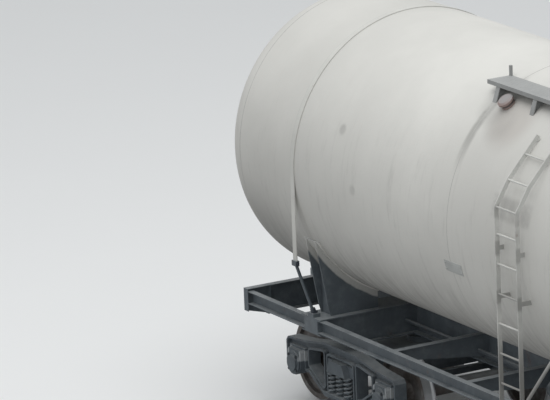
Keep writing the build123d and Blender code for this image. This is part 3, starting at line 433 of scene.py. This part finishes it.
def prism(bm, outline, lift, bevel):
    """Solid from a closed outline and the vector that lifts it, with its edges eased."""
    foot = [bm.verts.new(point) for point in outline]
    top = [bm.verts.new(Vector(point) + lift) for point in outline]
    faces = [bm.faces.new(reversed(foot)), bm.faces.new(top)]
    for k in range(len(foot)):
        n = (k + 1) % len(foot)
        faces.append(bm.faces.new((foot[k], foot[n], top[n], top[k])))
    edges = list({edge for face in faces for edge in face.edges})
    bmesh.ops.recalc_face_normals(bm, faces=faces)
    bmesh.ops.bevel(bm, geom=edges, offset=bevel, segments=2, affect="EDGES", profile=0.6,
                    clamp_overlap=True)


# Settings

class TankCarFinishes(bpy.types.PropertyGroup):
    """Colours of the paints, the dirt on them, and the painted light and shade"""
    tank_colour: bpy.props.FloatVectorProperty(
        name="Tank white", description="Colour of the tank's paint", subtype="COLOR", size=4, min=0, max=1,
        default=(0.70, 0.69, 0.652, 1))
    # This dark colour serves for dirt, and for the painted shade on the tank and on the ladders' lower
    # ends.
    grime_and_shade_colour: bpy.props.FloatVectorProperty(
        name="Grime", description="Colour of dried road dirt and soot", subtype="COLOR", size=4,
        min=0, max=1, default=(0.085, 0.08, 0.075, 1))
    rust_colour: bpy.props.FloatVectorProperty(
        name="Rust", description="Colour of rust where paint is gone", subtype="COLOR", size=4,
        min=0, max=1, default=(0.16, 0.07, 0.04, 1))
    frame_colour: bpy.props.FloatVectorProperty(
        name="Frame paint", description="Colour of the frame and bogies", subtype="COLOR", size=4,
        min=0, max=1, default=(0.095, 0.114, 0.130, 1))
    # On faces that look up, this dust also serves as painted light on the tops.
    dust_colour: bpy.props.FloatVectorProperty(
        name="Dust", description="Colour of dust on what looks up", subtype="COLOR", size=4, min=0, max=1,
        default=(0.33, 0.35, 0.36, 1))
    # Painted highlight: this pale colour beside the axle boxes stands for light that the jaws catch.
    jaw_highlight_colour: bpy.props.FloatVectorProperty(
        name="Worn steel", description="Colour of the worn jaws beside the axle boxes", subtype="COLOR",
        size=4, min=0, max=1, default=(0.46, 0.48, 0.49, 1))
    strap_colour: bpy.props.FloatVectorProperty(
        name="Strap", description="Colour of the straps over the tank", subtype="COLOR", size=4,
        min=0, max=1, default=(0.62, 0.615, 0.58, 1))
    ladder_colour: bpy.props.FloatVectorProperty(
        name="Ladder paint", description="Colour of the ladders", subtype="COLOR", size=4, min=0, max=1,
        default=(0.63, 0.63, 0.60, 1))
    walkway_colour: bpy.props.FloatVectorProperty(
        name="Walkway", description="Colour of the walkways and their brackets", subtype="COLOR", size=4,
        min=0, max=1, default=(0.31, 0.315, 0.31, 1))
    plate_colour: bpy.props.FloatVectorProperty(
        name="Blank plate", description="Colour of the blank plate on the tank", subtype="COLOR", size=4,
        min=0, max=1, default=(0.47, 0.48, 0.465, 1))
    valve_colour: bpy.props.FloatVectorProperty(
        name="Valve paint", description="Colour of the relief valve", subtype="COLOR", size=4, min=0, max=1,
        default=(0.32, 0.235, 0.215, 1))
    shoe_colour: bpy.props.FloatVectorProperty(
        name="Shoe iron", description="Colour of the brake shoes", subtype="COLOR", size=4, min=0, max=1,
        default=(0.12, 0.085, 0.065, 1))
    steel_colour: bpy.props.FloatVectorProperty(
        name="Steel", description="Colour of bare steel", subtype="COLOR", size=4, min=0, max=1,
        default=(0.34, 0.35, 0.36, 1))
    oxide_colour: bpy.props.FloatVectorProperty(
        name="Oxide", description="Colour of the brown skin on wheels", subtype="COLOR", size=4,
        min=0, max=1, default=(0.085, 0.072, 0.064, 1))
    # Scales the tank's dirt and its painted shade together.
    dirt: bpy.props.FloatProperty(
        name="Dirt", description="How dirty the tank is", default=1.0, min=0, max=1.5, subtype="FACTOR")


class TankCarFittings(bpy.types.PropertyGroup):
    """Sizes of the fittings that the scene adds"""
    coil_turns: bpy.props.FloatProperty(
        name="Coil turns", description="Turns of each bogie spring", default=5.5, min=3, max=9)
    wire_radius: bpy.props.FloatProperty(
        name="Spring wire radius", description="Half the thickness of the spring wire", default=0.014,
        min=0.006, max=0.02, unit="LENGTH")
    weld_width: bpy.props.FloatProperty(
        name="Weld width", description="Width of the weld beads on the tank", default=0.013, min=0.005,
        max=0.05, unit="LENGTH")
    bolt_size: bpy.props.FloatProperty(
        name="Bolt size", description="Radius of the bolt heads", default=0.016, min=0.008, max=0.03,
        unit="LENGTH")
    tread_step: bpy.props.FloatProperty(
        name="Tread step", description="Distance between the raised lozenges of the walkways",
        default=0.042, min=0.025, max=0.1, unit="LENGTH")


class TankCarStage(bpy.types.PropertyGroup):
    """The camera, the floor and the light"""
    azimuth: bpy.props.FloatProperty(
        name="Azimuth", description="Where the camera stands round the car", default=radians(60.42),
        subtype="ANGLE")
    elevation: bpy.props.FloatProperty(
        name="Elevation", description="How far the camera looks down", default=radians(14.5),
        subtype="ANGLE")
    roll: bpy.props.FloatProperty(
        name="Roll", description="Tilt of the picture", default=radians(-2.23), subtype="ANGLE")
    stand: bpy.props.FloatVectorProperty(
        name="Camera place", description="Where the camera stands", size=3, subtype="TRANSLATION",
        default=(52.593, -33.899, 19.479), unit="LENGTH")
    lens: bpy.props.FloatProperty(
        name="Lens", description="Focal length in millimetres on a 36 mm sensor", default=403.1,
        min=20, max=900)
    floor_colour: bpy.props.FloatVectorProperty(
        name="Floor", description="Colour of the plain floor", subtype="COLOR", size=4, min=0, max=1,
        default=(0.86, 0.86, 0.855, 1))
    bounce_colour: bpy.props.FloatVectorProperty(
        name="Floor bounce", description="Colour with which the floor lights the car's underside",
        subtype="COLOR", size=4, min=0, max=1, default=(0.34, 0.34, 0.34, 1))
    lamp_power: bpy.props.FloatProperty(
        name="Lamp power", description="Power of the large soft lamp overhead, in watts", default=2700,
        min=0)
    sky: bpy.props.FloatProperty(
        name="Sky", description="Strength of the even light from all round", default=0.64, min=0, max=2)


# Operators

class TANKCAR_OT_tank_finish(bpy.types.Operator):
    """Paint the tank, its heads, the manway, the straps and the relief valve"""
    bl_idname = "tankcar.tank_finish"
    bl_label = "Paint Tank"

    def execute(self, context):
        settings = context.scene.tankcar_finishes
        paint_nodes(("tank_barrel", "tank_heads", "manway_neck", "manway_lid", "tank_feet"),
                    tank_paint(settings))
        paint_nodes(("tank_straps",), strap_paint(settings))
        paint_nodes(("saddle_pads",), weathered("pad_paint", tone(settings.tank_colour, 1.05),
                                                settings.dust_colour, settings.rust_colour, rusty=0.3))
        paint_nodes(("relief_valve",), weathered("valve_paint", settings.valve_colour, settings.dust_colour,
                                                 settings.rust_colour))
        return {"FINISHED"}


class TANKCAR_OT_frame_finish(bpy.types.Operator):
    """Paint the frame, the bogies, the couplers and the brake gear"""
    bl_idname = "tankcar.frame_finish"
    bl_label = "Paint Frame"

    def execute(self, context):
        settings = context.scene.tankcar_finishes
        dust, rust = settings.dust_colour, settings.rust_colour
        frame_paint = weathered("frame_paint", settings.frame_colour, dust, rust, rusty=0.4)
        casting = tone(settings.frame_colour, 0.9)
        cast = weathered("cast_parts", casting, dust, rust, (0.55, 0.85), 0.003, 0.5)
        jaws = weathered("side_frame_cast", casting, dust, rust, (0.55, 0.85), 0.003, 0.5,
                         jaw_highlights(settings))
        saddle = weathered("saddle_paint", settings.frame_colour, dust, rust, rusty=0.4,
                           layers=overspray(settings))
        brake = weathered("brake_paint", tone(settings.frame_colour, 0.75), dust, rust)
        shoes = weathered("shoe_iron", settings.shoe_colour, dust, rust, (0.6, 0.9), 0.003)
        paint_nodes(("saddles",), saddle)
        paint_nodes(("strap_rods", "centre_sill", "end_beams", "body_bolsters", "side_beams",
                     "cross_beams", "bottom_outlet"), frame_paint)
        paint_nodes(("centre_plates", "side_bearings", "strikers", "couplers"), cast)
        paint_nodes(("uncoupling_levers", "brake_pipe", "brake_cylinder", "air_reservoir",
                     "air_distributor", "brake_rods"), brake)
        for number in BOGIES:
            paint_nodes((f"side_frames_{number}", f"axle_boxes_{number}"), jaws)
            paint_nodes((f"bogie_bolster_{number}", f"friction_wedges_{number}"), cast)
            paint_nodes((f"brake_beams_{number}",), brake)
            paint_nodes((f"brake_shoes_{number}",), shoes)
        return {"FINISHED"}


class TANKCAR_OT_ladder_finish(bpy.types.Operator):
    """Paint the ladders and the walkways"""
    bl_idname = "tankcar.ladder_finish"
    bl_label = "Paint Ladders"

    def execute(self, context):
        settings = context.scene.tankcar_finishes
        paint_nodes(("ladder_rails", "ladder_rungs", "ladder_stays"),
                    weathered("ladder_paint", settings.ladder_colour, tone(settings.tank_colour, 0.8),
                              settings.rust_colour, rusty=0.5, layers=stay_dirt_and_low_shade(settings)))
        paint_nodes(("walkways", "walkway_brackets"),
                    weathered("walkway_paint", settings.walkway_colour, tone(settings.walkway_colour, 1.25),
                              settings.rust_colour, rusty=0.25))
        return {"FINISHED"}


class TANKCAR_OT_wheel_finish(bpy.types.Operator):
    """Finish the wheels and axles"""
    bl_idname = "tankcar.wheel_finish"
    bl_label = "Finish Wheels"

    def execute(self, context):
        settings = context.scene.tankcar_finishes
        for number in WHEELSETS:
            low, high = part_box(f"wheels_{number}")
            middle = middle_of(f"wheels_{number}")
            tread = (high.z - low.z) / 2 - FLANGE_H
            steel = wheel_steel(settings, f"wheel_steel_{number}", middle.x, middle.z, tread)
            paint_nodes((f"wheels_{number}",), steel)
        axle = weathered("axle_steel", tone(settings.oxide_colour, 1.1), settings.dust_colour,
                         settings.rust_colour)
        paint_nodes([f"axle_{number}" for number in WHEELSETS], axle)
        return {"FINISHED"}


class TANKCAR_OT_springs(bpy.types.Operator):
    """Wind the coil springs of both bogies, an inner coil in each outer one"""
    bl_idname = "tankcar.springs"
    bl_label = "Wind Springs"

    def execute(self, context):
        settings = context.scene.tankcar_finishes
        fittings = context.scene.tankcar_fittings
        wire, turns = fittings.wire_radius, fittings.coil_turns
        inner_wire, inner_turns = wire * 0.55, -turns * 1.5
        outer_r, inner_r, step_x, half_y = 0.058, 0.030, 0.165, 0.068
        steel = weathered("spring_steel", settings.frame_colour, settings.dust_colour, settings.rust_colour)
        for number in BOGIES:
            low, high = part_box(f"spring_groups_{number}")
            middle_x, middle_y = (low.x + high.x) / 2, high.y - outer_r - half_y
            bm = bmesh.new()
            for side in (-1, 1):
                for dx in (-step_x, 0, step_x):
                    for dy in (-half_y, half_y):
                        centre = Vector((middle_x + dx, side * (middle_y + dy), 0))
                        self.wind(bm, centre, low.z, high.z, outer_r - wire, wire, turns)
                        self.wind(bm, centre, low.z, high.z, inner_r, inner_wire, inner_turns)
            piece = new_piece(f"coil_springs_{number}", bm, f"bogie_{number}", steel)
            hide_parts(f"spring_groups_{number}")
        return {"FINISHED"}

    def wind(self, bm, centre, foot, top, radius, wire, turns):
        """One coil with flat end turns. Negative turns wind it the other way."""
        steps_a_turn, flat = 14, 0.08
        steps = int(abs(turns) * steps_a_turn)
        points = []
        for i in range(steps + 1):
            share = i / steps
            a = 2 * pi * turns * share
            rise = min(1, max(0, (share - flat) / (1 - 2 * flat)))
            z = foot + wire + (top - foot - 2 * wire) * rise
            points.append(centre + Vector((radius * cos(a), radius * sin(a), z)))
        tube(bm, points, wire, 7)


class TANKCAR_OT_welds(bpy.types.Operator):
    """Lay the weld beads between the tank's plates and round the manway neck"""
    bl_idname = "tankcar.welds"
    bl_label = "Lay Welds"

    def execute(self, context):
        settings = context.scene.tankcar_finishes
        width = context.scene.tankcar_fittings.weld_width
        paint = weathered("bead_paint", tone(settings.tank_colour, 0.74), tone(settings.tank_colour, 0.6),
                          settings.rust_colour, rusty=0.2)
        ring_steps, neck_steps = 144, 96
        bm = bmesh.new()
        for x in (-TANGENT_X, SEAM_X, TANGENT_X):
            bead(bm, [self.section(x, 360 * k / ring_steps, width) for k in range(ring_steps)])
        bead(bm, [self.round_neck(360 * k / neck_steps, width) for k in range(neck_steps)])
        new_piece("weld_beads", bm, "carbody", paint)
        return {"FINISHED"}

    def section(self, x, angle, width):
        """Cross-section of a ring bead, with a slight ripple along it."""
        ripple = 1 + 0.18 * sin(angle * 2.4) + 0.1 * sin(angle * 5.1)
        arch = ((-0.5, -0.0005), (-0.28, 0.0008), (0, 0.0012), (0.28, 0.0008), (0.5, -0.0005))
        return [on_tank(x + u * width, angle, out * ripple) for u, out in arch]

    def round_neck(self, angle, width):
        """Cross-section of the bead where the neck stands on the tank."""
        a = radians(angle)
        points = []
        for out, up in ((-0.001, 1.0), (0.15, 0.75), (0.42, 0.42), (0.75, 0.15), (1.0, -0.05)):
            r = NECK_R + out * width
            y = r * sin(a)
            points.append(Vector((r * cos(a), y, TANK_Z + sqrt(TANK_R**2 - y**2) + up * width)))
        return points


class TANKCAR_OT_bolts(bpy.types.Operator):
    """Bolt on the axle covers and put the nuts and pins on the strap rods"""
    bl_idname = "tankcar.bolts"
    bl_label = "Fit Bolts"

    def execute(self, context):
        self.cover_bolts(context.scene.tankcar_fittings.bolt_size * 0.9)
        self.strap_nuts()
        return {"FINISHED"}

    def cover_bolts(self, size):
        """Four bolts on each axle cover."""
        circle, recess = 0.112, 0.023
        for number, wheels in BOGIES.items():
            cover_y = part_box(f"axle_boxes_{number}")[1].y - recess
            bm = bmesh.new()
            for middle in (middle_of(f"wheels_{wheel}") for wheel in wheels):
                for side in (-1, 1):
                    for k in range(4):
                        a = radians(45 + 90 * k)
                        base = middle + Vector((circle * cos(a), side * cover_y, circle * sin(a)))
                        bolt(bm, base, Vector((0, side, 0)), size)
            new_piece(f"cover_bolts_{number}", bm, f"bogie_{number}",
                      bpy.data.materials["cast_parts"], smooth=False)

    def strap_nuts(self):
        """A washer and two nuts at each rod's foot, and the heads of the pin through its jaw."""
        half_jaw_x, half_jaw_y, pin_down, seat_in, seat_up = 0.045, 0.023, 0.03, 0.045, 0.04
        washer_h, nut_h, lock_up, lock_h = 0.007, 0.026, 0.035, 0.018
        low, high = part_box("strap_rods")
        seat_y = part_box("side_beams")[1].y - seat_in
        bm = bmesh.new()
        for x in (-BOGIE_X, BOGIE_X):
            for side in (-1, 1):
                top = Vector((x, side * (high.y - half_jaw_y), high.z - pin_down))
                foot = Vector((x, side * seat_y, low.z + seat_up))
                up = (top - foot).normalized()
                disc(bm, foot, up, 0.044, washer_h, 24)
                disc(bm, foot + up * washer_h, up, 0.034, nut_h, 6)
                disc(bm, foot + up * lock_up, up, 0.032, lock_h, 6)
                for end in (-1, 1):
                    face, out = top + Vector((end * half_jaw_x, 0, 0)), Vector((end, 0, 0))
                    disc(bm, face, out, 0.022, 0.004, 20)           # washer
                    disc(bm, face, out, 0.015, 0.012, 16, 0.013)    # pin
        new_piece("strap_nuts", bm, "carbody", bpy.data.materials["frame_paint"],
                  smooth=False)


class TANKCAR_OT_manway_fittings(bpy.types.Operator):
    """Fit the clamp bolts of the manway lid and its lifting handle"""
    bl_idname = "tankcar.manway_fittings"
    bl_label = "Fit Manway"

    def execute(self, context):
        dome_h, lid_and_gap, flange_t = 0.045, 0.0303, 0.024
        clamps, circle = 8, LID_R + 0.010
        lid_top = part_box("manway_lid")[1].z - dome_h
        flange_foot = lid_top - lid_and_gap - flange_t
        nuts, eyes, up = bmesh.new(), bmesh.new(), Vector((0, 0, 1))
        for k in range(clamps):
            a = radians((k + 0.5) * 360 / clamps)
            out, along = Vector((cos(a), sin(a), 0)), Vector((-sin(a), cos(a), 0))
            nut = out * circle + up * lid_top
            disc(nuts, nut, up, 0.021, 0.004, 20)                           # washer
            disc(nuts, nut + up * 0.004, up, 0.0165, 0.015, 6)              # nut
            disc(nuts, nut + up * 0.019, up, 0.0085, 0.012, 12, 0.007)      # end of the bolt
            eye = out * circle + up * flange_foot
            pivot = eye - up * 0.034
            disc(eyes, eye - up * 0.022, up, 0.009, 0.022, 12)              # foot of the bolt
            disc(eyes, pivot - along * 0.012, along, 0.018, 0.024, 16)      # its eye
            disc(eyes, pivot - along * 0.026, along, 0.008, 0.052, 12)      # pin through the eye
        grip_half, grip_y, grip_out, grip_up, sunk = 0.035, -0.255, 0.04, 0.030, 0.004
        turns = [pi * k / 10 for k in range(11)]
        handle = [Vector((grip_half * cos(a), grip_y - grip_out * sin(a),
                          lid_top - sunk + grip_up * sin(a))) for a in turns]
        tube(nuts, handle, 0.006, 8)
        paint = bpy.data.materials["tank_paint"]
        new_piece("lid_clamp_nuts", nuts, "lid", paint, smooth=False)
        new_piece("clamp_eyes", eyes, "carbody", paint, smooth=False)
        return {"FINISHED"}


class TANKCAR_OT_walkway_treads(bpy.types.Operator):
    """Raise the anti-slip lozenges on both walkways"""
    bl_idname = "tankcar.walkway_treads"
    bl_label = "Raise Treads"

    def execute(self, context):
        step = context.scene.tankcar_fittings.tread_step
        width, covered, post_h, rim_x, rim_y = 0.300, 0.25, 0.110, 0.055, 0.035
        low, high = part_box("walkways")
        first_x, first_y = low.x + rim_x, high.y - width + rim_y
        columns, rows = int((high.x - low.x - 0.09) / step), int(covered / step)
        bm = bmesh.new()
        for side in (-1, 1):
            for i in range(columns):
                for j in range(rows):
                    centre = Vector((first_x + (i + 0.5) * step, side * (first_y + (j + 0.5) * step),
                                     high.z - post_h))
                    self.lozenge(bm, centre, radians(45 if (i + j) % 2 else -45), step)
        new_piece("walkway_treads", bm, "carbody", bpy.data.materials["walkway_paint"],
                  smooth=False)
        return {"FINISHED"}

    def lozenge(self, bm, centre, turn, step):
        """One low lozenge with a sloping edge."""
        along, across = Vector((cos(turn), sin(turn), 0)), Vector((-sin(turn), cos(turn), 0))
        half, width = step * 0.36, step * 0.11
        corners = ((1, 0), (0.45, 1), (-0.45, 1), (-1, 0), (-0.45, -1), (0.45, -1))
        rings = []
        for share, z in ((1.0, -0.0005), (0.62, 0.0018)):
            rings.append([bm.verts.new(centre + along * u * half * share + across * v * width * share
                                       + Vector((0, 0, z))) for u, v in corners])
        for k in range(6):
            n = (k + 1) % 6
            bm.faces.new((rings[0][k], rings[0][n], rings[1][n], rings[1][k]))
        bm.faces.new(rings[1])


class TANKCAR_OT_coupler_locks(bpy.types.Operator):
    """Set the lock and the head of its lifter shaft in both couplers"""
    bl_idname = "tankcar.coupler_locks"
    bl_label = "Fit Coupler Locks"

    def execute(self, context):
        half_lock_h, shaft_x, shaft_z = 0.085, -0.21, 0.02
        lock = ((-0.12, 0.012), (-0.060, 0.018), (-0.042, 0.040), (-0.050, 0.078), (-0.12, 0.086))
        bm = bmesh.new()
        for end in (-1, 1):
            prism(bm, [self.place(end, x, y, -half_lock_h) for x, y in lock],
                  Vector((0, 0, 2 * half_lock_h)), 0.008)
            out = Vector((0, -end, 0))
            disc(bm, self.place(end, shaft_x, -0.20, shaft_z), out, 0.034, 0.030, 20, 0.028)
            disc(bm, self.place(end, shaft_x, -0.225, shaft_z), out, 0.017, 0.030, 6)
        new_piece("coupler_locks", bm, "carbody", bpy.data.materials["cast_parts"])
        return {"FINISHED"}

    def place(self, end, x, y, height):
        """A point in one end's coupler, from its coupling line, with Y towards its small tooth."""
        tooth_reach = 0.075
        low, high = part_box("couplers")
        return Vector((end * (high.x - tooth_reach + x), end * y, (low.z + high.z) / 2 + height))


class TANKCAR_OT_blank_plate(bpy.types.Operator):
    """Put the small blank plate on the tank's shown side"""
    bl_idname = "tankcar.blank_plate"
    bl_label = "Fit Blank Plate"

    def execute(self, context):
        settings = context.scene.tankcar_finishes
        size = context.scene.tankcar_fittings.bolt_size
        paint = weathered("plate_paint", settings.plate_colour, tone(settings.plate_colour, 1.2),
                          settings.rust_colour, rusty=0.3)
        left, right, edge, thick = -0.83, -0.49, 0.004, 0.006
        first_angle, span, strips = 192, 4.6, 6
        bm = bmesh.new()
        rows = []
        for k in range(strips + 1):
            angle = first_angle + span * k / strips
            easing = edge if k in (0, strips) else 0
            rows.append([bm.verts.new(on_tank(x, angle, out)) for x, out in (
                (left + easing, 0.0), (left, edge), (left + edge, thick - easing / 2),
                (right - edge, thick - easing / 2), (right, edge), (right - easing, 0.0))])
        for a, b in zip(rows, rows[1:]):
            for k in range(5):
                bm.faces.new((a[k], b[k], b[k + 1], a[k + 1]))
        for row in (rows[0], rows[-1]):
            bm.faces.new(row)
        bmesh.ops.recalc_face_normals(bm, faces=bm.faces[:])
        for x in (left + 0.025, right - 0.025):
            for angle in (first_angle + 1, first_angle + span - 1):
                base = on_tank(x, angle, thick - 0.0005)
                bolt(bm, base, base - Vector((x, 0, TANK_Z)), size * 0.5)
        new_piece("blank_plate", bm, "carbody", paint, smooth=False)
        return {"FINISHED"}


class TANKCAR_OT_stage(bpy.types.Operator):
    """Set the floor, the lamps and the camera"""
    bl_idname = "tankcar.stage"
    bl_label = "Set Stage"

    def execute(self, context):
        stage = context.scene.tankcar_stage
        self.floor(stage)
        self.light(context.scene, stage)
        self.camera(context.scene, stage)
        context.scene.view_settings.view_transform = "Standard"
        return {"FINISHED"}

    def seen(self, tree):
        """1 for camera, glossy and transmission rays, which meet the pale background."""
        rays = tree.nodes.new("ShaderNodeLightPath").outputs
        total = rays["Is Camera Ray"]
        for name in ("Is Glossy Ray", "Is Transmission Ray"):
            add = tree.nodes.new("ShaderNodeMath")
            add.operation = "ADD"
            add.use_clamp = True
            tree.links.new(total, add.inputs[0])
            tree.links.new(rays[name], add.inputs[1])
            total = add.outputs[0]
        return total

    def floor(self, stage):
        """A plain pale floor that takes the car's shadow."""
        finish = Finish("floor_paint", specular=0.2)
        pale = finish.mix(finish.noise(0.4, 3), tone(stage.floor_colour, 0.985),
                          tone(stage.floor_colour, 1.0))
        finish.colour(finish.mix(self.seen(finish.tree), tone(stage.bounce_colour, 1.0), pale))
        finish.shader.inputs["Roughness"].default_value = 0.9
        bm = bmesh.new()
        bmesh.ops.create_grid(bm, x_segments=1, y_segments=1, size=FLOOR_HALF)
        mesh = bpy.data.meshes.new("floor")
        bm.to_mesh(mesh)
        bm.free()
        floor = bpy.data.objects.new("floor", mesh)
        floor.data.materials.append(finish.material)
        bpy.context.scene.collection.objects.link(floor)

    def light(self, scene, stage):
        """Even light from all round, a large soft lamp overhead and a weak one in front."""
        world = bpy.data.worlds.new("even_light")
        world.use_nodes = True
        nodes, links = world.node_tree.nodes, world.node_tree.links
        back = nodes["Background"]
        back.inputs["Color"].default_value = (0.95, 0.98, 1.0, 1)
        back.inputs["Strength"].default_value = stage.sky
        shown = nodes.new("ShaderNodeBackground")
        shown.inputs["Color"].default_value = (0.80, 0.80, 0.79, 1)
        mix = nodes.new("ShaderNodeMixShader")
        links.new(self.seen(world.node_tree), mix.inputs[0])
        links.new(back.outputs[0], mix.inputs[1])
        links.new(shown.outputs[0], mix.inputs[2])
        links.new(mix.outputs[0], nodes["World Output"].inputs["Surface"])
        scene.world = world
        front_share = 0.15
        for name, place, power, size in (
                ("overhead_lamp", (1, -5, 24), stage.lamp_power, 22),
                ("front_lamp", (16, -22, 12), stage.lamp_power * front_share, 10)):
            lamp = bpy.data.lights.new(name, "AREA")
            lamp.energy = power
            lamp.size = size
            lamp_object = bpy.data.objects.new(name, lamp)
            lamp_object.location = place
            aim = Vector((0, 0, 2)) - Vector(place)
            lamp_object.rotation_euler = aim.to_track_quat("-Z", "Y").to_euler()
            scene.collection.objects.link(lamp_object)

    def camera(self, scene, stage):
        """The camera at the angle that the settings give."""
        a, e, r = stage.azimuth, stage.elevation, stage.roll
        back = Vector((sin(a) * cos(e), -cos(a) * cos(e), sin(e)))
        level = Vector((cos(a), sin(a), 0))
        upright = back.cross(level)
        right = level * cos(r) + upright * sin(r)
        up = upright * cos(r) - level * sin(r)
        camera = bpy.data.cameras.new("photo_camera")
        camera.lens = stage.lens
        camera.sensor_width = SENSOR_MM
        camera.clip_end = VIEW_DEPTH
        camera_object = bpy.data.objects.new("photo_camera", camera)
        turn = Matrix((right, up, back)).transposed().to_4x4()
        camera_object.matrix_world = Matrix.Translation(Vector(stage.stand)) @ turn
        scene.collection.objects.link(camera_object)
        scene.camera = camera_object


class TANKCAR_PT_panel(bpy.types.Panel):
    """The tank car's finishes, fittings and stage"""
    bl_idname = "TANKCAR_PT_panel"
    bl_label = "Tank Car"
    bl_space_type = "VIEW_3D"
    bl_region_type = "UI"
    bl_category = "Tank Car"

    def draw(self, context):
        for operator in STEPS:
            self.layout.operator(operator.bl_idname)
        for group in (context.scene.tankcar_finishes, context.scene.tankcar_fittings,
                      context.scene.tankcar_stage):
            box = self.layout.box()
            for name in group.__annotations__:
                box.prop(group, name)


STEPS = (TANKCAR_OT_tank_finish, TANKCAR_OT_frame_finish, TANKCAR_OT_ladder_finish,
         TANKCAR_OT_wheel_finish, TANKCAR_OT_springs, TANKCAR_OT_welds, TANKCAR_OT_bolts,
         TANKCAR_OT_manway_fittings, TANKCAR_OT_walkway_treads, TANKCAR_OT_coupler_locks,
         TANKCAR_OT_blank_plate, TANKCAR_OT_stage)
GROUPS = (TankCarFinishes, TankCarFittings, TankCarStage)


def register():
    """Add the settings, the operators and the panel to Blender."""
    for item in (*GROUPS, *STEPS, TANKCAR_PT_panel):
        bpy.utils.register_class(item)
    bpy.types.Scene.tankcar_finishes = bpy.props.PointerProperty(type=TankCarFinishes)
    bpy.types.Scene.tankcar_fittings = bpy.props.PointerProperty(type=TankCarFittings)
    bpy.types.Scene.tankcar_stage = bpy.props.PointerProperty(type=TankCarStage)


def unregister():
    """Take them all away again."""
    for name in ("tankcar_finishes", "tankcar_fittings", "tankcar_stage"):
        delattr(bpy.types.Scene, name)
    for item in reversed((*GROUPS, *STEPS, TANKCAR_PT_panel)):
        bpy.utils.unregister_class(item)


def main():
    """Register the add-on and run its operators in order."""
    register()
    for operator in STEPS:
        group, name = operator.bl_idname.split(".")
        getattr(getattr(bpy.ops, group), name)()


if __name__ == "__main__":
    main()
